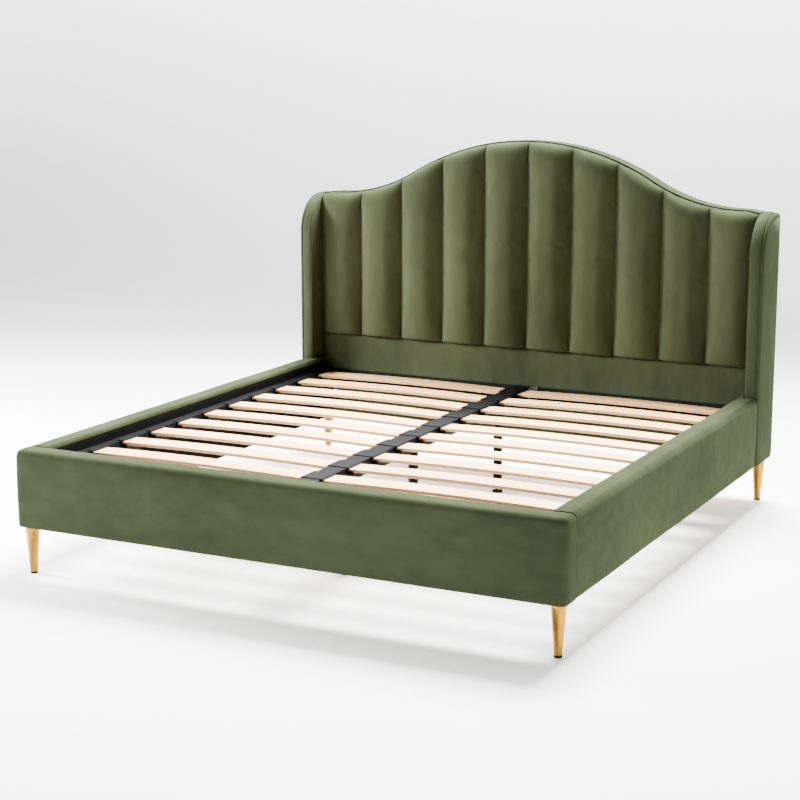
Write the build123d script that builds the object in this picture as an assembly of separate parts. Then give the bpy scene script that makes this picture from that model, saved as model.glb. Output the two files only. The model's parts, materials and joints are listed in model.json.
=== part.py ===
from build123d import *

import os
from math import cos, radians, sin, tan

# Upholstered winged bed with a camel-back channelled headboard and a sprung slat deck.
# Millimetres, +Z up. X runs across the bed, the headboard stands at +Y and the foot at -Y.
# The origin is on the floor, in the middle of the bed's footprint.

# Mattress that the frame holds
mattress_width = 1930.0
mattress_length = 2030.0
mattress_side_gap = 2.0
mattress_end_gap = 25.0

# Rails: a timber box core, a padded velvet cover outside and over the top, a lining inside
side_rail_thickness = 88.0
foot_rail_thickness = 92.0
rail_height = 282.0
rail_pad = 18.0
rail_top_pad = 16.0
rail_board = 14.0
rail_outer_radius = 24.0
rail_inner_radius = 10.0
rail_under_radius = 9.0
rail_corner_radius = 30.0
fold_height = 15.0
wrap = 3.0

# Headboard: arched frame, channelled upper panel, plain lower band, top border with a welt
headboard_frame_depth = 86.0
front_board = 12.0
back_cloth = 2.0
frame_bar = 60.0
frame_middle_bar = 80.0
shoulder_height = 1202.0
arch_rise = 250.0
shoulder_flat = 75.0
crest_share = 0.59
border_thickness = 16.0
channel_count = 10
channel_seam_height = 567.0
groove_depth = 25.0
channel_bulge = 38.0
channel_pinch = 46.0
channel_roll = 60.0
channel_seam = 0.8
band_bulge = 20.0
band_end_pinch = 34.0
band_end_share = 0.45
band_under_gap = 6.0
foot_station_shares = ((0.0, 0.24), (0.10, 0.48), (0.30, 0.76), (0.60, 0.94), (1.0, 1.0))
crest_station_shares = ((1.0, 1.0), (0.68, 0.95), (0.42, 0.82), (0.20, 0.61), (0.06, 0.36), (0.0, 0.14))

# Wings at both ends of the headboard
wing_thickness = 60.0
wing_reach = 100.0
wing_below_shoulder = 7.0
wing_pad = 12.0
wing_front_radius = 168.0
wing_back_radius = 34.0
wing_foot_radius = 20.0
wing_edge_radius = 9.0
welt_diameter = 8.0
welt_proud = 1.5
welt_start = 4.0
welt_clearance = 0.7

# Corner legs, turned and tapered, each on a steel plate and a hanger bolt, with a plastic glide
leg_height = 178.0
leg_top_diameter = 54.0
leg_foot_diameter = 27.0
leg_side_inset = 40.0
leg_foot_inset = 50.0
leg_head_inset = 46.0
leg_bolt_diameter = 8.0
leg_bolt_in_leg = 26.0
leg_bolt_in_core = 22.0
glide_height = 6.0
glide_lip = 0.8
glide_stem_diameter = 6.0
glide_stem = 12.0
leg_plate_side = 44.0

# Slat deck: bowed slats in plastic holders on steel ledgers and on a centre beam
slats_per_side = 11
slat_width = 90.0
slat_thickness = 12.0
slat_bow = 6.0
slat_crown_below_rail = 48.0
foot_slat_gap = 13.0
head_slat_gap = 73.0
holder_plate = 3.0
holder_grip = 16.0
holder_cheek = 4.0
holder_floor = 8.0
holder_reach = 22.0
holder_wall = 4.0
holder_lip = 3.0
holder_roof = 6.0
holder_head_room = 1.2
holder_peg_diameter = 8.0
deck_depth = 54.0
ledger_width = 44.0
steel_thickness = 3.0
ledger_end_gap = 5.0
cross_bar_shelf = 35.0
clip_leaf = 30.0
beam_width = 72.0
beam_wall = 2.0

# Centre legs with screw feet
support_leg_shares = (0.22, 0.48, 0.87)
support_tube_diameter = 38.0
support_tube_wall = 2.0
support_flange_side = 60.0
support_plug = 14.0
foot_pad_diameter = 44.0
foot_pad_height = 9.0
foot_pad_dome = 3.0
foot_stem_diameter = 10.0
foot_screw_travel = 15.0
foot_screw_play = 6.0
foot_stem_grip = 30.0

# Corner brackets and bolts
bracket_leg = 62.0
bracket_height = 110.0
bracket_below_bar = 12.0
bolt_diameter = 8.0
bolt_head_diameter = 17.0
bolt_head_height = 5.0
bolt_grip = 24.0
bolt_end_share = 0.22
ledger_bolt_shares = (0.06, 0.35, 0.65, 0.94)

# Fits and cuts
clearance = 0.3
hole_clearance = 0.4
screw_clearance = 0.08
overrun = 1.0

# Places that follow from the sizes above
inner_half = mattress_width / 2 + mattress_side_gap
half_width = inner_half + side_rail_thickness
wing_inner = half_width - wing_thickness
shoulder_half_span = wing_inner - shoulder_flat
deck_length = mattress_length + mattress_end_gap
bed_length = (foot_rail_thickness + deck_length + band_bulge + groove_depth
              + front_board + headboard_frame_depth + back_cloth)
foot_front = -bed_length / 2
foot_back = foot_front + foot_rail_thickness
band_crown = foot_back + deck_length
groove_plane = band_crown + band_bulge
board_front = groove_plane + groove_depth
frame_front = board_front + front_board
cloth_front = frame_front + headboard_frame_depth
head_back = cloth_front + back_cloth
wing_front = groove_plane - wing_reach
wing_height = shoulder_height - wing_below_shoulder
rail_bottom = leg_height
rail_top = rail_bottom + rail_height
core_bottom = rail_bottom + wrap
slat_end_bottom = rail_top - slat_crown_below_rail - slat_bow - slat_thickness
steel_top = rail_top - slat_crown_below_rail - holder_plate
steel_bottom = steel_top - deck_depth
ledger_face = inner_half - ledger_width
channel_pitch = 2 * wing_inner / channel_count
slat_pitch = (deck_length - foot_slat_gap - head_slat_gap - slat_width) / (slats_per_side - 1)
welt_radius = welt_diameter / 2


def block(x_range, y_range, z_range):
    """Box between three pairs of coordinates."""
    spans = [high - low for low, high in (x_range, y_range, z_range)]
    corner = Pos(x_range[0], y_range[0], z_range[0])
    return corner * Box(*spans, align=(Align.MIN, Align.MIN, Align.MIN))


def rounded_face(corners):
    """Flat face through corners (x, y, radius), each corner rounded by its own radius."""
    stops = []
    for index, (x, y, radius) in enumerate(corners):
        here = Vector(x, y)
        before = Vector(*corners[index - 1][:2])
        after = Vector(*corners[(index + 1) % len(corners)][:2])
        back, onward = (before - here).normalized(), (after - here).normalized()
        half_angle = radians(back.get_angle(onward)) / 2
        reach = radius / tan(half_angle)
        middle = here + (back + onward).normalized() * (radius / sin(half_angle) - radius)
        stops.append((here + back * reach, middle, here + onward * reach, radius))
    edges = []
    for index, (start, middle, end, radius) in enumerate(stops):
        if radius > 0:
            edges.append(ThreePointArc(start, middle, end))
        edges.append(Line(end, stops[(index + 1) % len(stops)][0]))
    return make_face(edges)


def prism_x(face, x_from, x_to):
    """Face drawn in (y, z), pulled along X."""
    return Pos(x_from, 0, 0) * extrude(Plane.YZ * face, x_to - x_from)


def prism_y(face, y_from, y_to):
    """Face drawn in (x, z), pulled along Y."""
    return Pos(0, y_to, 0) * extrude(Plane.XZ * face, y_to - y_from)


def rod(start, axis, radius, length):
    """Round bar from a point along an axis."""
    return Plane(origin=start, z_dir=axis) * Cylinder(
        radius, length, align=(Align.CENTER, Align.CENTER, Align.MIN))


def mirrored(shape, side):
    """The right-hand shape as it is, or its mirror image for the left side."""
    return shape if side == "right" else mirror(shape, Plane.YZ)


def save(name, shape):
    """Write one node."""
    export_step(shape, f"parts/{name}.step")


def arch_angle():
    """Angle in degrees that each of the two tangent arcs of the top line turns through."""
    return 2 * Vector(shoulder_half_span, arch_rise).get_angle(Vector(1, 0))


def arch_radii():
    """Radii of the crest arc and of the shoulder arc."""
    both = shoulder_half_span / sin(radians(arch_angle()))
    return both * crest_share, both * (1 - crest_share)


def arch_points(drop):
    """Points of the right half of the top line, lowered by a drop, from the crest outwards."""
    crest, shoulder = arch_radii()
    top = shoulder_height + arch_rise - drop
    half, full = radians(arch_angle() / 2), radians(arch_angle())
    base = shoulder_height - drop
    crest_mid = (crest * sin(half), top - crest * (1 - cos(half)))
    meeting = (crest * sin(full), top - crest * (1 - cos(full)))
    shoulder_mid = (shoulder_half_span - shoulder * sin(half), base + shoulder * (1 - cos(half)))
    return (0, top), crest_mid, meeting, shoulder_mid, (shoulder_half_span, base)


def arch_height(x):
    """Height of the top line of the headboard at a distance from its middle."""
    crest, shoulder = arch_radii()
    run = abs(x)
    if run <= crest * sin(radians(arch_angle())):
        return shoulder_height + arch_rise - crest + (crest ** 2 - run ** 2) ** 0.5
    left = max(shoulder_half_span - run, 0)
    return shoulder_height + shoulder - (shoulder ** 2 - left ** 2) ** 0.5


def arch_line(drop, half_span):
    """Edges of the top line from left to right, lowered by a drop."""
    top, crest_mid, meeting, shoulder_mid, shoulder_end = arch_points(drop)
    flip = [(-x, z) for x, z in (shoulder_end, shoulder_mid, meeting)]
    return [
        Line((-half_span, shoulder_end[1]), flip[0]),
        ThreePointArc(*flip),
        ThreePointArc(flip[2], top, meeting),
        ThreePointArc(meeting, shoulder_mid, shoulder_end),
        Line(shoulder_end, (half_span, shoulder_end[1])),
    ]


def arch_face(drop, half_span, bottom):
    """Face under the lowered top line, down to a level."""
    level = shoulder_height - drop
    sides = [
        Line((half_span, level), (half_span, bottom)),
        Line((half_span, bottom), (-half_span, bottom)),
        Line((-half_span, bottom), (-half_span, level)),
    ]
    return make_face(arch_line(drop, half_span) + sides)


def arch_strip(drop, thickness, half_span):
    """Face between the top line lowered by a drop and the same line lowered further."""
    low = arch_line(drop + thickness, half_span)
    high_level = shoulder_height - drop
    low_level = high_level - thickness
    ends = [Line((x, low_level), (x, high_level)) for x in (-half_span, half_span)]
    return make_face(arch_line(drop, half_span) + low + ends)


def bolt(seat, axis):
    """Button-head bolt: head on the near side of its seat, shank along the axis."""
    head = rod(seat - axis * bolt_head_height, axis, bolt_head_diameter / 2, bolt_head_height)
    crown = head.edges().sort_by(lambda edge: (edge.center() - seat).dot(axis))[0]
    return fillet(crown, bolt_head_height / 2) + rod(seat, axis, bolt_diameter / 2, bolt_grip)


def bolt_hole(seat, axis):
    """Clear hole for the shank of a bolt."""
    return rod(seat - axis * overrun, axis, bolt_diameter / 2 + hole_clearance,
               bolt_grip + 2 * overrun)


def ledger_bolt_seats():
    """Seats of the bolts along the right ledger."""
    height = (steel_top + steel_bottom) / 2
    face = inner_half - steel_thickness
    return [Vector(face, foot_back + deck_length * share, height) for share in ledger_bolt_shares]


def bracket_range():
    """Lowest and highest level of the corner brackets."""
    top = steel_bottom - steel_thickness - bracket_below_bar
    return top - bracket_height, top


def bracket_levels():
    """Levels of the two bolts in each leaf of a corner bracket."""
    low, high = bracket_range()
    inset = bracket_height * bolt_end_share
    return low + inset, high - inset


def side_bracket_seats():
    """Seats of the bracket bolts in the right rail, at the foot and at the head."""
    run = bracket_leg * (1 - bolt_end_share)
    face = inner_half - steel_thickness
    places = (foot_back + run, band_crown - clearance - run)
    return [Vector(face, y, z) for y in places for z in bracket_levels()]


def end_bracket_seats(face):
    """Seats of the bracket bolts in the foot rail or in the headboard, right side."""
    run = inner_half - bracket_leg * (1 - bolt_end_share)
    return [Vector(run, face, z) for z in bracket_levels()]


def leg_places():
    """Centres of the four corner legs, foot end first."""
    x = half_width - leg_side_inset
    return [(side * x, y) for y in (foot_front + leg_foot_inset, head_back - leg_head_inset)
            for side in (-1, 1)]


def leg_plate_blocks(extra):
    """Room of the four leg plates, sunk into the underside of the rails."""
    half = leg_plate_side / 2 + extra
    return [block((x - half, x + half), (y - half, y + half), (rail_bottom, core_bottom))
            for x, y in leg_places()]


def leg_bolt_holes():
    """Clear holes for the hanger bolts of the legs in the cores."""
    return [rod((x, y, rail_bottom), (0, 0, 1), leg_bolt_diameter / 2 + hole_clearance,
                leg_bolt_in_core + wrap + overrun) for x, y in leg_places()]


def box_core(x_range, y_range, z_range, along):
    """Timber box rail, open along its run so that its boards show as walls."""
    ranges = {"x": x_range, "y": y_range, "z": z_range}
    inside = {key: (low + rail_board, high - rail_board) for key, (low, high) in ranges.items()}
    inside[along] = (ranges[along][0] - overrun, ranges[along][1] + overrun)
    return block(x_range, y_range, z_range) - block(inside["x"], inside["y"], inside["z"])


def wing_room(extra):
    """Space that the right wing takes beside the rail, with a margin."""
    return block((wing_inner - extra, half_width + overrun), (wing_front - extra, head_back),
                 (rail_bottom - overrun, rail_top + overrun))


def rail_end():
    """Place where the side rails stop in front of the lower band."""
    return band_crown - clearance


def side_rail_cover():
    """Right rail's padded velvet cover: outer face, top, the fold inside and the turn-in below."""
    section = rounded_face([
        (inner_half, rail_bottom, 0),
        (half_width, rail_bottom, rail_under_radius),
        (half_width, rail_top, rail_outer_radius),
        (inner_half, rail_top, rail_inner_radius),
    ])
    body = prism_y(section, foot_back, rail_end())
    core = block((inner_half + wrap, half_width - rail_pad), (foot_back - overrun, head_back),
                 (core_bottom, rail_top - rail_top_pad))
    lining = block((inner_half - overrun, inner_half + wrap), (foot_back - overrun, head_back),
                   (rail_bottom - overrun, rail_top - fold_height))
    return body - core - lining - wing_room(0)


def side_rail_core():
    """Right rail's timber box, with its inner boards running on beside the wing."""
    core = box_core((inner_half + wrap, half_width - rail_pad), (foot_back, rail_end()),
                    (core_bottom, rail_top - rail_top_pad), "y")
    seats = ledger_bolt_seats() + side_bracket_seats()
    return core - wing_room(0) - [bolt_hole(seat, Vector(1, 0, 0)) for seat in seats]


def side_rail_lining():
    """Black lining on the inner face of the right rail."""
    sheet = block((inner_half, inner_half + wrap), (foot_back, rail_end()),
                  (rail_bottom, rail_top - fold_height))
    seats = ledger_bolt_seats() + side_bracket_seats()
    return sheet - [bolt_hole(seat, Vector(1, 0, 0)) for seat in seats]


def foot_rail_core():
    """Timber box of the foot rail."""
    core = box_core((rail_pad - half_width, half_width - rail_pad),
                    (foot_front + rail_pad, foot_back - wrap),
                    (core_bottom, rail_top - rail_top_pad), "x")
    return core - foot_bolt_holes() - leg_bolt_holes()


def foot_bolt_holes():
    """Holes for the corner bracket bolts that enter the foot rail."""
    right = end_bracket_seats(foot_back + steel_thickness)
    seats = right + [Vector(-seat.X, seat.Y, seat.Z) for seat in right]
    return [bolt_hole(seat, Vector(0, -1, 0)) for seat in seats]


def foot_rail_cover():
    """Padded velvet cover of the foot rail, rounded at its front corners and along its top."""
    body = block((-half_width, half_width), (foot_front, foot_back), (rail_bottom, rail_top))
    uprights = body.edges().filter_by(Axis.Z).group_by(Axis.Y)[0]
    body = fillet(uprights, rail_corner_radius)
    top = body.edges().group_by(Axis.Z)[-1].sort_by(Axis.Y)
    body = fillet(top[:-1], rail_outer_radius)
    inner_edge = body.edges().group_by(Axis.Z)[-1].sort_by(Axis.Y)[-1]
    body = fillet(inner_edge, rail_inner_radius)
    core = block((rail_pad - half_width, half_width - rail_pad),
                 (foot_front + rail_pad, foot_back - wrap), (core_bottom, rail_top - rail_top_pad))
    lining = block((-inner_half, inner_half), (foot_back - wrap, foot_back + overrun),
                   (rail_bottom - overrun, rail_top - fold_height))
    return body - core - lining - leg_plate_blocks(0)


def foot_rail_lining():
    """Black lining on the inner face of the foot rail."""
    sheet = block((-inner_half, inner_half), (foot_back - wrap, foot_back),
                  (rail_bottom, rail_top - fold_height))
    return sheet - foot_bolt_holes()


def channel_section(x_left, x_right, levels, share):
    """Section of one padded channel, in a plane that joins its two grooves."""
    left_level, right_level = levels
    back = board_front
    front = back - groove_depth * share
    crown = front - channel_bulge * share
    corners = [(x_left, back, left_level), (x_right, back, right_level),
               (x_right, front, right_level), (x_left, front, left_level)]
    middle = ((x_left + x_right) / 2, crown, (left_level + right_level) / 2)
    edges = [Line(corners[0], corners[1]), Line(corners[1], corners[2]),
             ThreePointArc(corners[2], middle, corners[3]), Line(corners[3], corners[0])]
    return Face(Wire(edges))


def channel_tops(x_left, x_right):
    """Levels of a channel's top at its two grooves, under the welt all the way between them."""
    ends = [arch_height(x) - welt_diameter for x in (x_left, x_right)]
    middle = arch_height((x_left + x_right) / 2) - welt_diameter
    excess = max(sum(ends) / 2 - middle, 0)
    return [end - excess for end in ends]


def channel(index):
    """One upright padded channel, drawn in at its seam and rolled back at its top."""
    x_left = index * channel_pitch - wing_inner + channel_seam / 2
    x_right = x_left + channel_pitch - channel_seam
    tops = channel_tops(x_left, x_right)
    sections = []
    for height_share, depth_share in foot_station_shares:
        levels = [channel_seam_height + channel_pinch * height_share] * 2
        sections.append(channel_section(x_left, x_right, levels, depth_share))
    for height_share, depth_share in crest_station_shares:
        levels = [top - channel_roll * height_share for top in tops]
        sections.append(channel_section(x_left, x_right, levels, depth_share))
    return loft(sections, ruled=True)


def lower_band():
    """Plain padded band under the channels, drawn in at both ends."""
    low, high = core_bottom + band_under_gap, channel_seam_height - channel_seam
    half = wing_inner - clearance
    stations = [(-half, band_end_share), (band_end_pinch - half, 1), (half - band_end_pinch, 1),
                (half, band_end_share)]
    sections = []
    for x, share in stations:
        crown = groove_plane - band_bulge * share
        edges = [Line((x, board_front, low), (x, board_front, high)),
                 Line((x, board_front, high), (x, groove_plane, high)),
                 ThreePointArc((x, groove_plane, high), (x, crown, (low + high) / 2),
                               (x, groove_plane, low)),
                 Line((x, groove_plane, low), (x, board_front, low))]
        sections.append(Face(Wire(edges)))
    return loft(sections, ruled=True) - head_bolt_holes()


def head_bolt_seats():
    """Seats of the bracket bolts that enter the headboard, both sides."""
    right = end_bracket_seats(band_crown - clearance - steel_thickness)
    return right + [Vector(-seat.X, seat.Y, seat.Z) for seat in right]


def head_bolt_holes():
    """Holes for those bolts, on through the band and the board."""
    depth = frame_front + bolt_grip - band_crown
    return [rod(seat - Vector(0, overrun, 0), (0, 1, 0), bolt_diameter / 2 + hole_clearance,
                depth + 2 * overrun) for seat in head_bolt_seats()]


def welt_over_arch(radius, half_span):
    """Round cord that follows the top line of the headboard."""
    path = Plane.XZ * Wire(arch_line(0, half_span))
    start = path @ 0
    circle = Plane(origin=start, z_dir=(1, 0, 0)) * Circle(radius)
    return Pos(0, board_front, -welt_proud) * sweep(circle, path)


def top_border():
    """Velvet strip over the top of the headboard frame, behind the welt."""
    strip = prism_y(arch_strip(0, border_thickness, wing_inner), board_front, cloth_front)
    return strip - welt_over_arch(welt_radius + welt_clearance, wing_inner + overrun)


def headboard_front_board():
    """Arched board that carries the channels and the band."""
    face = arch_face(border_thickness, wing_inner, core_bottom)
    board = prism_y(face, board_front, frame_front)
    return board - head_bolt_holes() - leg_plate_blocks(hole_clearance)


def headboard_post():
    """Right-hand post of the headboard frame."""
    top = shoulder_height - border_thickness - frame_bar
    post = block((wing_inner - frame_bar, wing_inner), (frame_front, cloth_front),
                 (core_bottom, top))
    return post - head_bolt_holes()


def headboard_cross_rail(level):
    """Flat rail between the posts, from a level upwards."""
    half = wing_inner - frame_bar
    return block((-half, half), (frame_front, cloth_front), (level, level + frame_middle_bar))


def headboard_back_cloth():
    """Cloth that closes the back of the headboard and of both wings."""
    middle = arch_face(border_thickness / 2, wing_inner, core_bottom)
    low, high = rail_bottom + wing_foot_radius, wing_height - wing_back_radius
    sheet = prism_y(middle, cloth_front, head_back)
    for side in (-1, 1):
        ends = sorted((side * wing_inner, side * (half_width - wing_pad)))
        sheet += block(ends, (cloth_front, head_back), (low, high))
    return sheet - leg_plate_blocks(0)


def wing_profile(inset, back, low):
    """Side view of a wing, drawn in by an inset at the front and the top."""
    return rounded_face([
        (wing_front + inset, low, 0),
        (back, low, max(wing_foot_radius - inset, 0)),
        (back, wing_height - inset, max(wing_back_radius - inset, 0)),
        (wing_front + inset, wing_height - inset, wing_front_radius - inset),
    ])


def wing_board():
    """Timber board inside the right wing."""
    board = prism_x(wing_profile(wing_pad, cloth_front, core_bottom),
                    wing_inner + wing_pad, half_width - wing_pad)
    return board - leg_bolt_holes() - leg_plate_blocks(0)


def wing_cover():
    """Padded velvet cover of the right wing, open at the back under the cloth."""
    body = prism_x(wing_profile(0, cloth_front, rail_bottom), wing_inner, half_width)
    faces = body.faces().sort_by(Axis.X)
    rims = faces[0].edges() + faces[-1].edges()
    rims = [edge for edge in rims if edge.center().Y < cloth_front - overrun
            and edge.center().Z > rail_bottom + overrun]
    body = fillet(rims, wing_edge_radius)
    board = prism_x(wing_profile(wing_pad, cloth_front + overrun, core_bottom),
                    wing_inner + wing_pad, half_width - wing_pad)
    return body - board - leg_plate_blocks(0) - wing_welt(welt_radius + welt_clearance)


def wing_welt(radius):
    """Welt cord along the inner edge of the right wing's front, up and over its rounded top."""
    inset = welt_proud
    start = Vector(wing_front + inset, rail_top + welt_start)
    bend = wing_front_radius - inset
    top = wing_height - inset
    corner = Vector(wing_front + inset + bend, top - bend)
    half = radians(45)
    path = Plane.YZ * Wire([
        Line(start, (wing_front + inset, top - bend)),
        ThreePointArc((wing_front + inset, top - bend),
                      corner + Vector(-cos(half), sin(half)) * bend, (corner.X, top)),
    ])
    circle = Plane(origin=path @ 0, z_dir=(0, 0, 1)) * Circle(radius)
    return Pos(wing_inner + welt_radius + clearance, 0, 0) * sweep(circle, path)


def side_ledger():
    """Steel channel on the inner face of the right rail, open below."""
    ends = (foot_back + ledger_end_gap, band_crown - ledger_end_gap)
    outside = block((ledger_face, inner_half), ends, (steel_bottom, steel_top))
    inside = block((ledger_face + steel_thickness, inner_half - steel_thickness),
                   (ends[0] - overrun, ends[1] + overrun),
                   (steel_bottom - overrun, steel_top - steel_thickness))
    pegs = [holder_peg_hole(end_peg(), y) for y in slat_rows()]
    bolts = [bolt_hole(seat, Vector(1, 0, 0)) for seat in ledger_bolt_seats()]
    return outside - inside - pegs - bolts


def cross_bar(end):
    """Steel angle across the foot or the head, whose shelf carries the ledgers and the beam."""
    wall, inward = (foot_back, 1) if end == "foot" else (band_crown - clearance, -1)
    reach = inner_half - clearance
    low = steel_bottom - steel_thickness
    shelf = block((-reach, reach), sorted((wall, wall + inward * cross_bar_shelf)),
                  (low, steel_bottom))
    web = block((-reach, reach), sorted((wall, wall + inward * steel_thickness)),
                (low, steel_top))
    return shelf + web


def centre_beam():
    """Hollow steel beam along the middle of the deck, between the two cross bars."""
    half = beam_width / 2
    ends = (foot_back + steel_thickness, band_crown - clearance - steel_thickness)
    outer = block((-half, half), ends, (steel_bottom, steel_top))
    inner = block((beam_wall - half, half - beam_wall), (ends[0] - overrun, ends[1] + overrun),
                  (steel_bottom + beam_wall, steel_top - beam_wall))
    return outer - inner - [holder_peg_hole(0, y) for y in slat_rows()]


def beam_clip(end):
    """Angle that ties the beam's end to a cross bar, at the foot below the first slat."""
    wall, inward = foot_back + steel_thickness, 1
    top = slat_end_bottom - holder_floor - clearance
    if end == "head":
        wall, inward, top = band_crown - clearance - steel_thickness, -1, steel_top
    x_near = beam_width / 2
    level = (steel_bottom, top)
    along_beam = block((x_near, x_near + steel_thickness),
                       sorted((wall, wall + inward * clip_leaf)), level)
    along_bar = block((x_near, x_near + clip_leaf),
                      sorted((wall, wall + inward * steel_thickness)), level)
    return along_beam + along_bar


def slat_rows():
    """Middle of each slat along the deck."""
    first = foot_back + foot_slat_gap + slat_width / 2
    return [first + slat_pitch * index for index in range(slats_per_side)]


def end_peg():
    """Distance from the middle of the bed to a ledger holder's peg."""
    return ledger_face + holder_grip / 2


def holder_peg_depth():
    """Depth of a holder's peg below the top of the steel."""
    return 2 * steel_thickness


def holder_peg_hole(x, y):
    """Hole for the peg of a slat holder."""
    return rod((x, y, steel_top - holder_peg_depth() - overrun), (0, 0, 1),
               holder_peg_diameter / 2 + hole_clearance, holder_peg_depth() + 2 * overrun)


def holder_peg(x, y):
    """Peg of a slat holder, down through the steel."""
    return rod((x, y, steel_top - holder_peg_depth()), (0, 0, 1), holder_peg_diameter / 2,
               holder_peg_depth() + holder_plate / 2)


def holder_seat(face, inward, y):
    """Cheek, floor, side lips and short roof that hold a slat's end beside a steel face.

    face is the place of the steel, inward the direction from it towards the slat.
    """
    half = slat_width / 2 + holder_wall
    slat_end = face + inward * holder_cheek
    tip = slat_end + inward * holder_reach
    roof_tip = slat_end + inward * holder_roof
    low = slat_end_bottom - holder_floor
    roof = slat_end_bottom + slat_thickness + holder_head_room
    seat = block(sorted((face, slat_end)), (y - half, y + half), (low, steel_top + holder_plate))
    seat += block(sorted((face, tip)), (y - half, y + half), (low, slat_end_bottom + holder_lip))
    seat -= block(sorted((slat_end, tip + inward * overrun)),
                  (y - slat_width / 2 - clearance, y + slat_width / 2 + clearance),
                  (slat_end_bottom, slat_end_bottom + holder_lip + overrun))
    return seat + block(sorted((face, roof_tip)), (y - half, y + half), (roof, roof + holder_lip))


def end_holder(y):
    """Plastic holder hooked over the right ledger."""
    half = slat_width / 2 + holder_wall
    plate = block((ledger_face - holder_cheek, ledger_face + holder_grip), (y - half, y + half),
                  (steel_top, steel_top + holder_plate))
    return plate + holder_seat(ledger_face, -1, y) + holder_peg(end_peg(), y)


def centre_holder(y):
    """Double plastic holder that straddles the beam."""
    half = slat_width / 2 + holder_wall
    reach = beam_width / 2 + holder_cheek
    plate = block((-reach, reach), (y - half, y + half), (steel_top, steel_top + holder_plate))
    seats = holder_seat(beam_width / 2, 1, y) + holder_seat(-beam_width / 2, -1, y)
    return plate + seats + holder_peg(0, y)


def slat_reach():
    """Distances of a slat's two ends from the middle of the bed."""
    return (beam_width / 2 + holder_cheek + clearance,
            ledger_face - holder_cheek - clearance)


def slat(y):
    """Bowed slat of the right column, with its ends in the holders."""
    near, far = slat_reach()
    middle = (near + far) / 2
    low, high = slat_end_bottom, slat_end_bottom + slat_thickness
    face = make_face([
        ThreePointArc((near, low), (middle, low + slat_bow), (far, low)),
        Line((far, low), (far, high)),
        ThreePointArc((far, high), (middle, high + slat_bow), (near, high)),
        Line((near, high), (near, low)),
    ])
    return prism_y(face, y - slat_width / 2, y + slat_width / 2)


def corner_leg(x, y):
    """Turned tapered leg with a blind bore at each end."""
    foot, top = leg_foot_diameter / 2, leg_top_diameter / 2
    profile = make_face(Polyline([(0, glide_height), (foot, glide_height), (top, rail_bottom),
                                  (0, rail_bottom)], close=True))
    body = revolve(Plane.XZ * profile, Axis.Z)
    body -= rod((0, 0, rail_bottom - leg_bolt_in_leg), (0, 0, 1),
                leg_bolt_diameter / 2 + hole_clearance, leg_bolt_in_leg + overrun)
    body -= rod((0, 0, glide_height - overrun), (0, 0, 1),
                glide_stem_diameter / 2 + hole_clearance, glide_stem + overrun)
    return Pos(x, y, 0) * body


def leg_glide(x, y):
    """Plastic glide under a leg, with its stem in the leg's bore."""
    lip = leg_foot_diameter / 2
    disc = Pos(0, 0, glide_height / 2) * Cylinder(lip, glide_height)
    disc = chamfer(disc.edges().group_by(Axis.Z)[0], glide_lip)
    stem = rod((0, 0, glide_height), (0, 0, 1), glide_stem_diameter / 2, glide_stem - clearance)
    return Pos(x, y, 0) * (disc + stem)


def leg_bolt(x, y):
    """Hanger bolt from the leg into the core above it."""
    return rod((x, y, rail_bottom - leg_bolt_in_leg), (0, 0, 1), leg_bolt_diameter / 2,
               leg_bolt_in_leg + wrap + leg_bolt_in_core)


def support_places():
    """Places of the centre legs along the beam."""
    return [foot_back + deck_length * share for share in support_leg_shares]


def support_bottom():
    """Level of the lower end of a centre leg's tube."""
    return foot_pad_height + foot_screw_travel + foot_screw_play


def support_leg(y):
    """Centre leg: tube with a top flange under the beam and a bored end plug."""
    top = steel_bottom
    radius = support_tube_diameter / 2
    tube = rod((0, y, support_bottom()), (0, 0, 1), radius, top - support_bottom())
    room = rod((0, y, support_bottom() + support_plug), (0, 0, 1), radius - support_tube_wall,
               top - support_bottom() - support_plug - steel_thickness)
    half = support_flange_side / 2
    flange = block((-half, half), (y - half, y + half), (top - steel_thickness, top))
    bore = rod((0, y, support_bottom() - overrun), (0, 0, 1),
               foot_stem_diameter / 2 + screw_clearance, support_plug + 2 * overrun)
    return tube - room + flange - bore


def screw_foot(y):
    """Pad and threaded stem that set the height of a centre leg."""
    pad = Pos(0, y, foot_pad_height / 2) * Cylinder(foot_pad_diameter / 2, foot_pad_height)
    pad = chamfer(pad.edges().group_by(Axis.Z)[-1], foot_pad_dome)
    stem = rod((0, y, foot_pad_height), (0, 0, 1), foot_stem_diameter / 2,
               support_bottom() - foot_pad_height + foot_stem_grip)
    return pad + stem


def corner_bracket(end):
    """Steel angle in an inner corner of the frame, right side."""
    wall, inward = (foot_back, 1) if end == "foot" else (band_crown - clearance, -1)
    level = bracket_range()
    on_side = block((inner_half - steel_thickness, inner_half),
                    sorted((wall, wall + inward * bracket_leg)), level)
    on_end = block((inner_half - bracket_leg, inner_half),
                   sorted((wall, wall + inward * steel_thickness)), level)
    bracket = on_side + on_end
    holes = [bolt_hole(seat, Vector(1, 0, 0)) for seat in side_bracket_seats()]
    holes += [bolt_hole(seat, Vector(0, -inward, 0))
              for seat in end_bracket_seats(wall + inward * steel_thickness)]
    return bracket - holes


def bracket_bolts():
    """Bolts of the four corner brackets."""
    right = [bolt(seat, Vector(1, 0, 0)) for seat in side_bracket_seats()]
    right += [bolt(seat, Vector(0, -1, 0))
              for seat in end_bracket_seats(foot_back + steel_thickness)]
    right += [bolt(seat, Vector(0, 1, 0))
              for seat in end_bracket_seats(band_crown - clearance - steel_thickness)]
    return right + [mirrored(one, "left") for one in right]


def ledger_bolts():
    """Bolts of both ledgers."""
    right = [bolt(seat, Vector(1, 0, 0)) for seat in ledger_bolt_seats()]
    return right + [mirrored(one, "left") for one in right]


def group(solids):
    """Separate solids in one node."""
    return Compound(children=list(solids))


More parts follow.
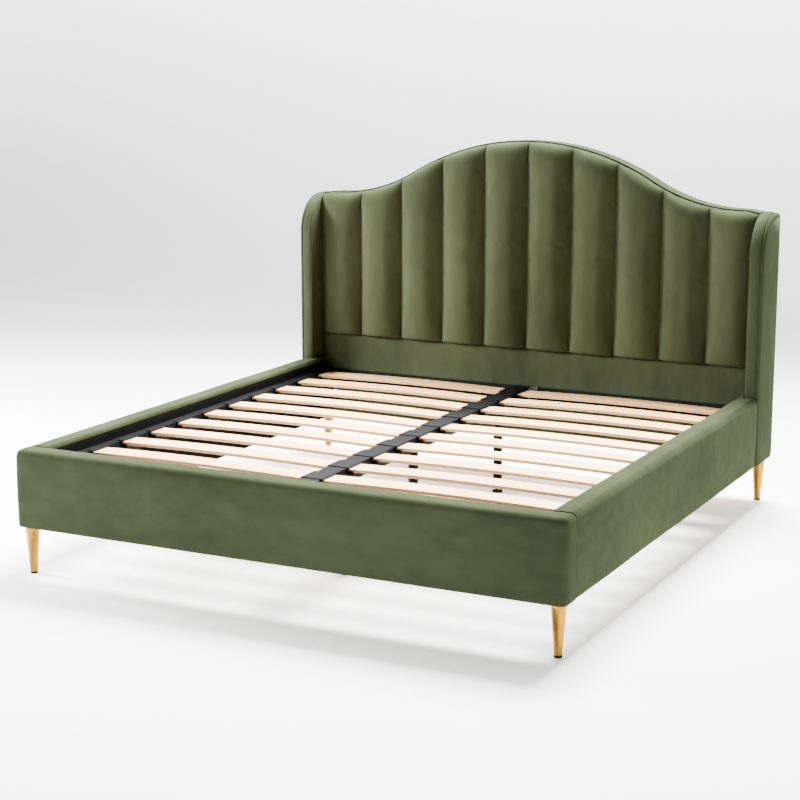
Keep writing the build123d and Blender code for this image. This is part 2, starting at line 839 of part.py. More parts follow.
def write_rails():
    """Foot rail and both side rails."""
    save("foot_rail_core", foot_rail_core())
    save("foot_rail_cover", foot_rail_cover())
    save("foot_rail_lining", foot_rail_lining())
    core, cover, lining = side_rail_core(), side_rail_cover(), side_rail_lining()
    for side in ("left", "right"):
        save(f"side_rail_core_{side}", mirrored(core, side))
        save(f"side_rail_cover_{side}", mirrored(cover, side))
        save(f"side_rail_lining_{side}", mirrored(lining, side))


def write_headboard():
    """Headboard frame, board, panel, band, border, welt and back cloth."""
    save("headboard_front_board", headboard_front_board())
    save("headboard_bottom_rail", headboard_cross_rail(core_bottom))
    save("headboard_middle_rail",
         headboard_cross_rail(channel_seam_height - frame_middle_bar / 2))
    save("headboard_top_rail",
         prism_y(arch_strip(border_thickness, frame_bar, wing_inner), frame_front, cloth_front))
    save("headboard_back_cloth", headboard_back_cloth())
    save("channel_pads", group(channel(index) for index in range(channel_count)))
    save("lower_band", lower_band())
    save("top_border", top_border())
    save("top_welt", welt_over_arch(welt_radius, wing_inner - clearance))
    post, board = headboard_post(), wing_board()
    cover, welt = wing_cover(), wing_welt(welt_radius)
    for side in ("left", "right"):
        save(f"headboard_post_{side}", mirrored(post, side))
        save(f"wing_board_{side}", mirrored(board, side))
        save(f"wing_cover_{side}", mirrored(cover, side))
        save(f"wing_welt_{side}", mirrored(welt, side))


def write_deck():
    """Ledgers, cross bars, beam, holders and slats."""
    ledger = side_ledger()
    holders = [end_holder(y) for y in slat_rows()]
    slats = [slat(y) for y in slat_rows()]
    for side in ("left", "right"):
        save(f"side_ledger_{side}", mirrored(ledger, side))
        save(f"slat_holders_{side}", group(mirrored(one, side) for one in holders))
        save(f"slats_{side}", group(mirrored(one, side) for one in slats))
    save("slat_holders_centre", group(centre_holder(y) for y in slat_rows()))
    save("centre_beam", centre_beam())
    for end in ("foot", "head"):
        save(f"cross_bar_{end}", cross_bar(end))
        save(f"beam_clip_{end}", beam_clip(end))
        bracket = corner_bracket(end)
        save(f"corner_brackets_{end}", group([bracket, mirrored(bracket, "left")]))
    save("bracket_bolts", group(bracket_bolts()))
    save("ledger_bolts", group(ledger_bolts()))


def write_legs():
    """Corner legs with their plates, bolts and glides, and centre legs with screw feet."""
    names = ("foot_left", "foot_right", "head_left", "head_right")
    for name, (x, y) in zip(names, leg_places()):
        save(f"corner_leg_{name}", corner_leg(x, y))
    holes = leg_bolt_holes()
    save("leg_plates", group(plate - holes for plate in leg_plate_blocks(0)))
    save("leg_bolts", group(leg_bolt(x, y) for x, y in leg_places()))
    save("leg_glides", group(leg_glide(x, y) for x, y in leg_places()))
    for name, y in zip(("foot", "middle", "head"), support_places()):
        save(f"support_leg_{name}", support_leg(y))
        save(f"screw_foot_{name}", screw_foot(y))


os.makedirs("parts", exist_ok=True)
write_rails()
write_headboard()
write_deck()
write_legs()
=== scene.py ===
"""Looks of the upholstered winged bed: velvet, slats, steel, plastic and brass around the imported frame."""

import json
import logging
import math
from dataclasses import dataclass, field
from enum import Enum

import bmesh
import bpy
import numpy as np
from bpy.types import Material, Mesh, Node, NodeSocket, NodeTree, Object
from mathutils import Matrix, Vector, noise

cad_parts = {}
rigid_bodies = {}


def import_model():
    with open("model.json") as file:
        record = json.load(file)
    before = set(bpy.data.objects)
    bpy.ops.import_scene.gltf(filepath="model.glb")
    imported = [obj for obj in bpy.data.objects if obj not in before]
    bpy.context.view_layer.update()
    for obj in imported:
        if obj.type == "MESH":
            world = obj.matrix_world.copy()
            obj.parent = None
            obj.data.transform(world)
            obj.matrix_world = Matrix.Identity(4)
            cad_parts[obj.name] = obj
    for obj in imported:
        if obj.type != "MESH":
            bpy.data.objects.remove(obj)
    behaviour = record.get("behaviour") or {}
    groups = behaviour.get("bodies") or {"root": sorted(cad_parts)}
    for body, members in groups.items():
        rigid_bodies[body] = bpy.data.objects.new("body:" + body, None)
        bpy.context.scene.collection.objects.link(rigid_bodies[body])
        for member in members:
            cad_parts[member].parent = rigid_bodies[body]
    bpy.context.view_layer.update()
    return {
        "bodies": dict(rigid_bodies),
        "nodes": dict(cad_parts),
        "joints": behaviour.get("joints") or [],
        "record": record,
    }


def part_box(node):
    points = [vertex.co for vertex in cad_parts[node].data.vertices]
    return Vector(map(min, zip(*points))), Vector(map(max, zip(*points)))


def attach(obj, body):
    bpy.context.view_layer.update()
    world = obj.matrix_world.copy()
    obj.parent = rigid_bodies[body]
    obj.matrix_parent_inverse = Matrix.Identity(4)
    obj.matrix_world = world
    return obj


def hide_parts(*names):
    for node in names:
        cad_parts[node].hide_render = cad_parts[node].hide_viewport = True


LOG = logging.getLogger("winged_bed")
MM = 0.001
BODY = "frame"
IMAGE_SIDE = 800
SENSOR_WIDTH = 36.0

Triple = tuple[float, float, float]


class Side(Enum):
    """Left and right half of the bed, seen from the foot end."""

    LEFT = -1
    RIGHT = 1

    @property
    def word(self) -> str:
        """Name of the side as the nodes spell it."""
        return self.name.lower()


# Frame measures


@dataclass(frozen=True)
class Box:
    """Box of one CAD node, in metres."""

    low: Vector
    high: Vector

    @classmethod
    def of(cls, node: str) -> "Box":
        """Box of a node at rest.

        Args:
            node: name of the CAD node.

        Returns:
            The node's box.
        """
        low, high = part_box(node)
        return cls(Vector(low), Vector(high))

    @property
    def middle(self) -> Vector:
        """Centre of the box."""
        return (self.low + self.high) / 2


def measured(node: str) -> Box:
    """Dataclass field with a node's box, read from the frame when its owner is made."""
    return field(default_factory=lambda: Box.of(node))


@dataclass(frozen=True)
class Arch:
    """Top line of the headboard: a crest arc that runs into a shoulder arc on each side."""

    shoulder: float
    crest: float
    half_span: float = 920 * MM
    crest_share: float = 0.59

    @property
    def radii(self) -> Triple:
        """Crest radius, shoulder radius and the angle that each arc turns through."""
        angle = 2 * math.atan2(self.crest - self.shoulder, self.half_span)
        both = self.half_span / math.sin(angle)
        return both * self.crest_share, both * (1 - self.crest_share), angle

    def height(self, x: float) -> float:
        """Height of the line at a distance from the middle.

        Args:
            x: distance from the middle of the bed.

        Returns:
            The height above the floor.
        """
        crest, shoulder, angle = self.radii
        run = abs(x)
        if run <= crest * math.sin(angle):
            return self.crest - crest + math.sqrt(crest ** 2 - run ** 2)
        left = max(self.half_span - run, 0.0)
        return self.shoulder + shoulder - math.sqrt(shoulder ** 2 - left ** 2)


# Mesh helpers


def mesh_object(name: str, mesh: Mesh) -> Object:
    """Links a mesh to the scene as a new object that is shaded smooth.

    Args:
        name: name of the object and of its mesh.
        mesh: the mesh data.

    Returns:
        The new object.
    """
    mesh.name = name
    piece = bpy.data.objects.new(name, mesh)
    bpy.context.collection.objects.link(piece)
    mesh.polygons.foreach_set("use_smooth", [True] * len(mesh.polygons))
    mesh.update()
    return piece


def mesh_from_bmesh(solid: bmesh.types.BMesh) -> Mesh:
    """Turns a bmesh into a mesh and frees it."""
    mesh = bpy.data.meshes.new("piece")
    solid.to_mesh(mesh)
    solid.free()
    return mesh


def grid_mesh(name: str, points: np.ndarray) -> Mesh:
    """Skins a grid of points with quads.

    Args:
        name: name of the mesh.
        points: points of shape (rows, columns, 3).

    Returns:
        The open mesh.
    """
    rows, columns = points.shape[:2]
    quads = [(r * columns + c, r * columns + c + 1, (r + 1) * columns + c + 1, (r + 1) * columns + c)
             for r in range(rows - 1) for c in range(columns - 1)]
    mesh = bpy.data.meshes.new(name)
    mesh.from_pydata(points.reshape(-1, 3).tolist(), [], quads)
    return mesh


def loft(rings: list) -> Mesh:
    """Skins a stack of closed rings with quads and fills both ends.

    Args:
        rings: rings of points, each with as many points as the others.

    Returns:
        A mesh whose faces point outwards.
    """
    stack = np.array(rings)
    count, size = stack.shape[:2]
    solid = bmesh.new()
    verts = [solid.verts.new(point) for point in stack.reshape(-1, 3)]
    for here in range(0, (count - 1) * size, size):
        for column in range(size):
            after = (column + 1) % size
            solid.faces.new((verts[here + column], verts[here + after],
                             verts[here + size + after], verts[here + size + column]))
    solid.faces.new(verts[:size][::-1])
    solid.faces.new(verts[-size:])
    bmesh.ops.recalc_face_normals(solid, faces=solid.faces)
    return mesh_from_bmesh(solid)


def rounded_ring(corners: list[Triple], parts: list[int], turns: int) -> np.ndarray:
    """Closed outline through rounded corners, with points along its straight runs.

    Args:
        corners: (u, v, radius) of each corner in order; a radius of 0 keeps it sharp.
        parts: pieces in the straight run after each corner.
        turns: pieces in each rounded corner.

    Returns:
        Points of shape (count, 2).
    """
    arcs = []
    count = len(corners)
    corners = [tuple(float(value) for value in corner) for corner in corners]
    for index, (u, v, radius) in enumerate(corners):
        here = Vector((u, v))
        if radius <= 0:
            arcs.append([here])
            continue
        back = (Vector(corners[index - 1][:2]) - here).normalized()
        onward = (Vector(corners[(index + 1) % count][:2]) - here).normalized()
        half = back.angle(onward) / 2
        centre = here + (back + onward).normalized() * (radius / math.sin(half))
        reach = radius / math.tan(half)
        start, end = here + back * reach - centre, here + onward * reach - centre
        first = math.atan2(start.y, start.x)
        swing = math.remainder(math.atan2(end.y, end.x) - first, 2 * math.pi)
        arcs.append([centre + radius * Vector((math.cos(first + swing * turn / turns),
                                               math.sin(first + swing * turn / turns)))
                     for turn in range(turns + 1)])
    points = []
    for index, arc in enumerate(arcs):
        points.extend(arc)
        run = arcs[(index + 1) % count][0] - arc[-1]
        points.extend(arc[-1] + run * part / parts[index] for part in range(1, parts[index]))
    return np.array([(point.x, point.y) for point in points])


def spaced(low: float, high: float, step: float) -> np.ndarray:
    """Even places from low to high, no further apart than a step."""
    return np.linspace(low, high, max(int(math.ceil((high - low) / step)), 1) + 1)


def eased(low: float, high: float, edge: float, step: float, turns: int = 7) -> np.ndarray:
    """Places from low to high, bunched inside a rounded edge at both ends.

    Args:
        low: first place.
        high: last place.
        edge: width of the rounded edge at each end.
        step: greatest distance between places in the middle.
        turns: places within each edge.

    Returns:
        The places in order.
    """
    bend = edge * (1 - np.cos(np.linspace(0, math.pi / 2, turns + 1)))
    return np.concatenate([low + bend[:-1], spaced(low + edge, high - edge, step), (high - bend[:-1])[::-1]])


def rounding(share: float, power: float) -> float:
    """Share of the full height at a share of the way in from a rounded edge."""
    return 1.0 if share >= 1 else (1 - (1 - share) ** power) ** (1 / power)


def edge_inset(place: float, low: float, high: float, edge: float) -> float:
    """Depth of a quarter-round edge at a place near either end of a span."""
    gap = edge - min(place - low, high - place)
    return 0.0 if gap <= 0 else edge - math.sqrt(max(edge ** 2 - gap ** 2, 0.0))


def ripple(mesh: Mesh, depth: float, scale: float, seed: float, outward: Vector) -> None:
    """Moves the outward side of a mesh in and out by smooth noise, as cloth over foam lies.

    Args:
        mesh: the mesh to change.
        depth: greatest move.
        scale: noise cells per metre.
        seed: offset of the noise.
        outward: direction that the padded side faces.
    """
    shift, inward = Vector((seed, seed * 2, seed * 3)), 0.35
    normals = [vertex.normal.copy() for vertex in mesh.vertices]
    for vertex, normal in zip(mesh.vertices, normals):
        facing = max(normal.dot(outward), 0.0)
        wave = noise.noise(vertex.co * scale + shift) - inward
        vertex.co += normal * depth * facing * wave
    mesh.update()


def cloth_piece(name: str, points: list, columns: int, thickness: float) -> Object:
    """Thin cloth from a grid of points.

    Args:
        name: name of the piece.
        points: the grid's points, row by row.
        columns: points in a row.
        thickness: how thick the cloth is.

    Returns:
        The piece, with its thickness applied.
    """
    piece = mesh_object(name, grid_mesh(name, np.array(points).reshape(-1, columns, 3)))
    shell = piece.modifiers.new("thickness", "SOLIDIFY")
    shell.thickness = thickness
    shell.offset = 0
    graph = bpy.context.evaluated_depsgraph_get()
    thick = bpy.data.meshes.new_from_object(piece.evaluated_get(graph))
    piece.modifiers.clear()
    piece.data = thick
    return piece


def bevelled_boxes(boxes: list[tuple[tuple, tuple]], bevel: float) -> Mesh:
    """Closed boxes with bevelled edges, as moulded plastic has them.

    Args:
        boxes: low and high corner of each box.
        bevel: width of the bevels.

    Returns:
        One mesh with every box.
    """
    solid = bmesh.new()
    for low, high in boxes:
        spans = [float(top - bottom) for bottom, top in zip(low, high)]
        centre = [float(top + bottom) / 2 for bottom, top in zip(low, high)]
        place = Matrix.Translation(centre) @ Matrix.Diagonal((*spans, 1.0))
        made = bmesh.ops.create_cube(solid, size=1.0, matrix=place)["verts"]
        edges = list({edge for vertex in made for edge in vertex.link_edges})
        bmesh.ops.bevel(solid, geom=edges, offset=bevel, segments=1, affect="EDGES")
    bmesh.ops.recalc_face_normals(solid, faces=solid.faces)
    return mesh_from_bmesh(solid)


@dataclass(frozen=True)
class ClothRun:
    """Short cloth simulation that lets upholstery swell between its seams."""

    pressure: float = 4.0
    frames: int = 20
    spare: float = 0.005
    mass: float = 0.35
    bending: float = 2.0
    tension: float = 12.0
    limit: float = 6 * MM

    def settle(self, points: np.ndarray, pinned: np.ndarray) -> np.ndarray:
        """Runs the simulation on a grid of points that faces outwards.

        Args:
            points: rest points of shape (rows, columns, 3).
            pinned: True where a seam or the frame holds the cloth, of shape (rows, columns).

        Returns:
            The settled points, none further than the limit from its rest place.
        """
        mesh = grid_mesh("swelling", points)
        piece = mesh_object("swelling", mesh)
        held = piece.vertex_groups.new(name="held")
        held.add(np.flatnonzero(pinned.ravel()).tolist(), 1.0, "REPLACE")
        cloth = piece.modifiers.new("cloth", "CLOTH")
        cloth.point_cache.frame_start, cloth.point_cache.frame_end = 1, self.frames
        rules = cloth.settings
        rules.quality, rules.mass, rules.bending_stiffness = 4, self.mass, self.bending
        rules.tension_stiffness = rules.compression_stiffness = self.tension
        rules.vertex_group_mass, rules.shrink_min = "held", -self.spare
        rules.use_pressure, rules.uniform_pressure_force = True, self.pressure
        rules.effector_weights.gravity = 0.0
        cloth.collision_settings.use_collision = False
        scene = bpy.context.scene
        for frame in range(1, self.frames + 1):
            scene.frame_set(frame)
        graph = bpy.context.evaluated_depsgraph_get()
        result = piece.evaluated_get(graph).to_mesh()
        settled = np.empty(len(result.vertices) * 3)
        result.vertices.foreach_get("co", settled)
        piece.evaluated_get(graph).to_mesh_clear()
        bpy.data.objects.remove(piece)
        bpy.data.meshes.remove(mesh)
        scene.frame_set(1)
        move = settled.reshape(points.shape) - points
        length = np.linalg.norm(move, axis=2, keepdims=True)
        LOG.info("cloth settled: mean move %.2f mm, greatest %.2f mm", length.mean() / MM, length.max() / MM)
        return points + move * np.minimum(1.0, self.limit / np.maximum(length, 1e-9))


def joined(name: str, meshes: list[Mesh]) -> Mesh:
    """Joins meshes into one."""
    solid = bmesh.new()
    for mesh in meshes:
        solid.from_mesh(mesh)
        bpy.data.meshes.remove(mesh)
    result = mesh_from_bmesh(solid)
    result.name = name
    return result


def mirrored(mesh: Mesh, side: Side) -> Mesh:
    """The right-hand mesh as it is, or its mirror image for the left side."""
    if side is Side.LEFT:
        mesh.transform(Matrix.Scale(-1, 4, Vector((1, 0, 0))))
        mesh.flip_normals()
    return mesh


# Node builders


class NodeBuilder:
    """Adds nodes to a tree, with their settings and inputs in one call."""

    def __init__(self, tree: NodeTree, family: str) -> None:
        """Takes the tree and the family of its nodes, Shader or Geometry."""
        self.tree, self.family = tree, family

    def node(self, kind: str, links: dict, **settings: object) -> Node:
        """Adds a node.

        Args:
            kind: node type without its family's prefix.
            links: socket or constant by input name or number.
            **settings: properties of the node.

        Returns:
            The node.
        """
        node = self.tree.nodes.new(f"{self.family}Node{kind}")
        for key, value in settings.items():
            setattr(node, key, value)
        for key, value in links.items():
            if isinstance(value, NodeSocket):
                self.tree.links.new(value, node.inputs[key])
            else:
                node.inputs[key].default_value = value
        return node

    def math(self, operation: str, *values: object) -> NodeSocket:
        """Adds a Math node and returns its result."""
        return self.node("Math", dict(enumerate(values)), operation=operation).outputs[0]

    def vector(self, operation: str, *values: object) -> NodeSocket:
        """Adds a Vector Math node and returns its result."""
        return self.node("VectorMath", dict(enumerate(values)), operation=operation).outputs[0]

    def ranged(self, value: NodeSocket, start: tuple = (0.0, 1.0), end: tuple = (0.0, 1.0)) -> NodeSocket:
        """Maps a value from one range to another.

        Args:
            value: the value.
            start: range that it comes from.
            end: range that it is mapped and clamped to.

        Returns:
            The mapped value.
        """
        names = ("From Min", "From Max", "To Min", "To Max")
        return self.node("MapRange", {"Value": value, **dict(zip(names, (*start, *end)))}).outputs[0]


class Paint(NodeBuilder):
    """A material's node tree and the few nodes that every finish here uses."""

    def __init__(self, name: str) -> None:
        """Starts a material of this name with its Principled shader."""
        self.material = bpy.data.materials.new(name)
        self.material.use_nodes = True
        super().__init__(self.material.node_tree, "Shader")
        self.shader = self.tree.nodes["Principled BSDF"]
        self.coordinates = self.node("TexCoord", {}).outputs["Object"]

    def set(self, **values: object) -> None:
        """Sets constant values on the shader's own sockets."""
        for key, value in values.items():
            self.shader.inputs[key.replace("_", " ")].default_value = value

    def link(self, source: NodeSocket, socket: str) -> None:
        """Feeds a value into one of the shader's sockets."""
        self.tree.links.new(source, self.shader.inputs[socket])

    def group(self, tree: NodeTree, **values: object) -> Node:
        """Places a shared group, fed by the object's coordinates, with constants for its named inputs."""
        constants = {key.replace("_", " "): value for key, value in values.items()}
        return self.node("Group", {"Vector": self.coordinates, **constants}, node_tree=tree)

    def mix(self, factor: NodeSocket, low: tuple | NodeSocket, high: tuple | NodeSocket) -> NodeSocket:
        """Mixes two colours, each a constant or a socket.

        Args:
            factor: where the second colour shows.
            low: colour or socket where the factor is 0.
            high: colour or socket where it is 1.

        Returns:
            The mixed colour's socket.
        """
        low, high = (end if isinstance(end, NodeSocket) else (*end, 1.0) for end in (low, high))
        return self.node("Mix", {0: factor, 6: low, 7: high}, data_type="RGBA").outputs[2]

    def bump(self, height: NodeSocket, strength: float, distance: float) -> None:
        """Feeds a height through a Bump node into the shader's normal."""
        node = self.node("Bump", {"Height": height, "Strength": strength, "Distance": distance})
        self.link(node.outputs["Normal"], "Normal")


class GroupBuilder(NodeBuilder):
    """Builds one node group with named inputs and outputs."""

    def __init__(self, name: str, family: str, inputs: dict[str, tuple[str, object]],
                 outputs: dict[str, str]) -> None:
        """Makes the group's sockets.

        Args:
            name: name of the group.
            family: Shader or Geometry.
            inputs: kind of socket and default by input name.
            outputs: kind of socket by output name.
        """
        super().__init__(bpy.data.node_groups.new(name, f"{family}NodeTree"), family)
        for key, (kind, default) in inputs.items():
            socket = self.tree.interface.new_socket(key, in_out="INPUT", socket_type=f"NodeSocket{kind}")
            if default is not None:
                socket.default_value = default
        for key, kind in outputs.items():
            self.tree.interface.new_socket(key, in_out="OUTPUT", socket_type=f"NodeSocket{kind}")
        self.enter = self.tree.nodes.new("NodeGroupInput").outputs
        self.leave = self.tree.nodes.new("NodeGroupOutput").inputs

    def finish(self, **results: NodeSocket) -> NodeTree:
        """Links each result to the output of its name and hands over the group."""
        for name, socket in results.items():
            self.tree.links.new(socket, self.leave[name])
        return self.tree


# Shader groups


def nap_group() -> NodeTree:
    """Brushed pile: broad patches and streaks where the pile leans, and its fine grain.

    Returns:
        A group with Patches and Grain between 0 and 1.
    """
    group = GroupBuilder("brushed_nap", "Shader",
                         {"Vector": ("Vector", None), "Patch Scale": ("Float", 3.0),
                          "Streak": ("Vector", (1.0, 1.0, 1.0)), "Grain Scale": ("Float", 900.0)},
                         {"Patches": "Float", "Grain": "Float"})
    enter = group.enter
    stretched = group.vector("MULTIPLY", enter["Vector"], enter["Streak"])
    broad = group.node("TexNoise", {"Vector": stretched, "Scale": enter["Patch Scale"],
                                    "Detail": 3.0, "Roughness": 0.55})
    finer = group.math("MULTIPLY", enter["Patch Scale"], 9.0)
    streaks = group.node("TexNoise", {"Vector": stretched, "Scale": finer, "Detail": 4.0,
                                      "Roughness": 0.6})
    both = group.math("ADD", group.math("MULTIPLY", broad.outputs[0], 0.68),
                      group.math("MULTIPLY", streaks.outputs[0], 0.32))
    grain = group.node("TexNoise", {"Vector": enter["Vector"], "Scale": enter["Grain Scale"], "Detail": 2.0})
    return group.finish(Patches=group.ranged(both, (0.36, 0.64)), Grain=grain.outputs[0])


def wood_group() -> NodeTree:
    """Long grain of planed wood, along X or another axis by its Stretch.

    Returns:
        A group with Figure, Pores and Tone between 0 and 1.
    """
    group = GroupBuilder("long_grain", "Shader",
                         {"Vector": ("Vector", None), "Stretch": ("Vector", (1.0, 14.0, 14.0)),
                          "Board": ("Float", 5.35)},
                         {"Figure": "Float", "Pores": "Float", "Tone": "Float"})
    enter = group.enter
    parts = group.node("SeparateXYZ", {0: enter["Vector"]})
    side = group.math("GREATER_THAN", parts.outputs["X"], 0.0)
    row = group.math("FLOOR", group.math("MULTIPLY", parts.outputs["Y"], enter["Board"]))
    board = group.math("ADD", group.math("MULTIPLY", row, 7.0), group.math("MULTIPLY", side, 131.0))
    tone = group.node("TexWhiteNoise", {"W": board}, noise_dimensions="1D")
    shift = group.node("CombineXYZ", {0: board, 1: board, 2: board})
    moved = group.vector("ADD", group.vector("MULTIPLY", enter["Vector"], enter["Stretch"]), shift.outputs[0])
    figure = group.node("TexNoise", {"Vector": moved, "Scale": 2.6, "Detail": 5.0, "Roughness": 0.6,
                                     "Distortion": 0.6})
    pores = group.node("TexNoise", {"Vector": moved, "Scale": 34.0, "Detail": 3.0, "Roughness": 0.7})
    return group.finish(Figure=group.ranged(figure.outputs[0], (0.34, 0.68)), Pores=pores.outputs[0],
                        Tone=tone.outputs[0])


def speck_group() -> NodeTree:
    """Fine uneven skin of paint, plastic or plate, with slow smudges.

    Returns:
        A group with Skin and Smudge between 0 and 1.
    """
    group = GroupBuilder("uneven_skin", "Shader",
                         {"Vector": ("Vector", None), "Scale": ("Float", 700.0),
                          "Smudge Scale": ("Float", 14.0)},
                         {"Skin": "Float", "Smudge": "Float"})
    enter = group.enter
    skin = group.node("TexNoise", {"Vector": enter["Vector"], "Scale": enter["Scale"], "Detail": 2.0})
    smudge = group.node("TexNoise", {"Vector": enter["Vector"], "Scale": enter["Smudge Scale"],
                                     "Detail": 4.0})
    return group.finish(Skin=skin.outputs[0], Smudge=group.ranged(smudge.outputs[0], (0.3, 0.7)))


# Finishes


@dataclass(frozen=True)
class Velvet:
    """Short-pile velvet with a soft sheen."""

    name: str = "olive_velvet"
    deep: Triple = (0.0192, 0.0243, 0.0126)
    light: Triple = (0.0335, 0.0408, 0.0218)
    sheen_tint: tuple[float, float, float, float] = (0.40, 0.48, 0.26, 1.0)
    streak: Triple = (1.0, 1.0, 0.35)

    def build(self, nap: NodeTree) -> Material:
        """Builds the material.

        Args:
            nap: the shared nap group.

        Returns:
            The material.
        """
        paint = Paint(self.name)
        paint.set(Roughness=0.9, Specular_IOR_Level=0.0, Sheen_Weight=0.11, Sheen_Roughness=0.34,
                  Sheen_Tint=self.sheen_tint)
        pile = paint.group(nap, Patch_Scale=2.6, Streak=self.streak, Grain_Scale=1100.0)
        paint.link(paint.mix(pile.outputs["Patches"], self.deep, self.light), "Base Color")
        paint.bump(pile.outputs["Grain"], 0.32, 0.6 * MM)
        return paint.material


@dataclass(frozen=True)
class Cloth:
    """Thin black non-woven cloth."""

    name: str = "black_lining"
    dark: Triple = (0.0022, 0.0022, 0.0024)
    light: Triple = (0.0034, 0.0034, 0.0036)

    def build(self, skin: NodeTree) -> Material:
        """Builds the material from the shared skin group."""
        paint = Paint(self.name)
        paint.set(Roughness=0.95, Specular_IOR_Level=0.03)
        fibres = paint.group(skin, Scale=420.0, Smudge_Scale=9.0)
        paint.link(paint.mix(fibres.outputs["Smudge"], self.dark, self.light), "Base Color")
        paint.bump(fibres.outputs["Skin"], 0.5, 0.8 * MM)
        return paint.material


@dataclass(frozen=True)
class Wood:
    """Planed wood with long grain."""

    name: str
    dark: Triple
    light: Triple
    pore: Triple
    stretch: Triple = (1.0, 14.0, 14.0)
    roughness: float = 0.5
    board: float = 5.35
    layered: bool = False
    veneer: float = 0.125
    # Shares of the dark colour on the slats' sides and underside: the veneer stripes are real, the overall
    # darkening against the top face is painted shade.
    sawn_shares: tuple[float, float] = (0.42, 0.72)

    def layers(self, paint: Paint, colour: NodeSocket) -> NodeSocket:
        """Darkens the sides and underside below the top face as painted shade and draws the veneer stripes
        there, from the layer attribute.

        Args:
            paint: the material being built.
            colour: colour of the face veneer.

        Returns:
            The colour with its sides darkened as painted shade and striped with veneers.
        """
        layer = paint.node("Attribute", {}, attribute_name="layer").outputs["Fac"]
        band = paint.ranged(paint.math("PINGPONG", layer, self.veneer), (0.03, 0.09))
        edge = paint.ranged(layer, (0.985, 0.90))
        # The sides and underside take a darker share of the dark colour as painted shade, with the real
        # veneer stripes drawn over it.
        glue, ply = (tuple(share * part for part in self.dark) for share in self.sawn_shares)
        return paint.mix(edge, colour, paint.mix(band, glue, ply))

    def build(self, grain: NodeTree) -> Material:
        """Builds the material.

        Args:
            grain: the shared grain group.

        Returns:
            The material.
        """
        paint = Paint(self.name)
        paint.set(Roughness=self.roughness, Specular_IOR_Level=0.35)
        wood = paint.group(grain, Stretch=self.stretch, Board=self.board)
        figure = paint.mix(wood.outputs["Figure"], self.dark, self.light)
        tone = paint.ranged(wood.outputs["Tone"], end=(0.90, 1.08))
        toned = paint.node("HueSaturation", {"Value": tone, "Color": figure}).outputs["Color"]
        pores = paint.ranged(wood.outputs["Pores"], (0.60, 0.78), (0.0, 0.55))
        colour = paint.mix(pores, toned, self.pore)
        paint.link(self.layers(paint, colour) if self.layered else colour, "Base Color")
        paint.bump(wood.outputs["Pores"], 0.12, 0.4 * MM)
        return paint.material


@dataclass(frozen=True)
class Hard:
    """Metal or plastic with an uneven skin."""

    name: str
    dark: Triple
    light: Triple
    metallic: float
    roughness: tuple[float, float]
    bump: float
    scale: float = 700.0
    specular: float = 0.5

    def build(self, skin: NodeTree) -> Material:
        """Builds the material.

        Args:
            skin: the shared skin group.

        Returns:
            The material.
        """
        paint = Paint(self.name)
        paint.set(Metallic=self.metallic, Specular_IOR_Level=self.specular)
        surface = paint.group(skin, Scale=self.scale, Smudge_Scale=16.0)
        paint.link(paint.mix(surface.outputs["Smudge"], self.dark, self.light), "Base Color")
        paint.link(paint.ranged(surface.outputs["Smudge"], end=self.roughness), "Roughness")
        paint.bump(surface.outputs["Skin"], self.bump, 0.3 * MM)
        return paint.material


class Finishes:
    """Every material of the bed, built once."""

    def __init__(self) -> None:
        """Builds the shared groups and the materials."""
        nap, grain, skin = nap_group(), wood_group(), speck_group()
        self.velvet = Velvet().build(nap)
        self.rail_velvet = Velvet(name="olive_velvet_rails", streak=(0.45, 1.0, 1.0)).build(nap)
        self.lining = Cloth().build(skin)
        self.birch = Wood("laminated_birch", (0.78, 0.42, 0.155), (0.95, 0.61, 0.285),
                          (0.42, 0.20, 0.07), layered=True).build(grain)
        self.pine = Wood("planed_pine", (0.52, 0.34, 0.17), (0.72, 0.52, 0.30), (0.34, 0.20, 0.10),
                         roughness=0.62).build(grain)
        self.plywood = Wood("plywood", (0.50, 0.34, 0.18), (0.68, 0.50, 0.30), (0.34, 0.21, 0.11),
                            stretch=(1.0, 9.0, 5.0), roughness=0.6, board=0.2).build(grain)
        self.steel = Hard("black_powder_coat", (0.0014, 0.0014, 0.0016), (0.003, 0.003, 0.0032), 0.0,
                          (0.52, 0.66), 0.35, specular=0.05).build(skin)
        self.plastic = Hard("black_plastic", (0.0018, 0.0018, 0.002), (0.0034, 0.0034, 0.0036), 0.0,
                            (0.52, 0.66), 0.30, scale=1100.0, specular=0.05).build(skin)
        self.brass = Hard("satin_brass", (0.19, 0.088, 0.009), (0.29, 0.140, 0.017), 1.0,
                          (0.13, 0.20), 0.10, scale=380.0).build(skin)
        self.zinc = Hard("bright_zinc", (0.10, 0.10, 0.098), (0.17, 0.17, 0.165), 1.0,
                         (0.28, 0.42), 0.15).build(skin)


# Geometry node trees


class TreeBuilder(GroupBuilder):
    """Builds one Geometry Nodes tree that starts from the object's own mesh."""

    def __init__(self, name: str, inputs: dict[str, tuple[str, object]]) -> None:
        """Makes the tree's sockets: the geometry, its own inputs and the material."""
        super().__init__(name, "Geometry",
                         {"Geometry": ("Geometry", None), **inputs, "Material": ("Material", None)},
                         {"Geometry": "Geometry"})

    def dressed(self, geometry: NodeSocket) -> NodeTree:
        """Ends the tree in Realize Instances and Set Material.

        Args:
            geometry: what the tree has made.

        Returns:
            The tree.
        """
        real = self.node("RealizeInstances", {0: geometry}).outputs[0]
        surface = self.node("SetMaterial", {"Geometry": real, "Material": self.enter["Material"]})
        return self.finish(Geometry=surface.outputs[0])


def row_tree() -> NodeTree:
    """Copies of the object's mesh in a straight row.

    Returns:
        A tree with Count, Step and Material inputs.
    """
    tree = TreeBuilder("row_of_copies", {"Count": ("Int", 2), "Step": ("Vector", None)})
    line = tree.node("MeshLine", {"Count": tree.enter["Count"], "Offset": tree.enter["Step"]})
    copies = tree.node("InstanceOnPoints", {"Points": line.outputs[0], "Instance": tree.enter["Geometry"]})
    return tree.dressed(copies.outputs[0])


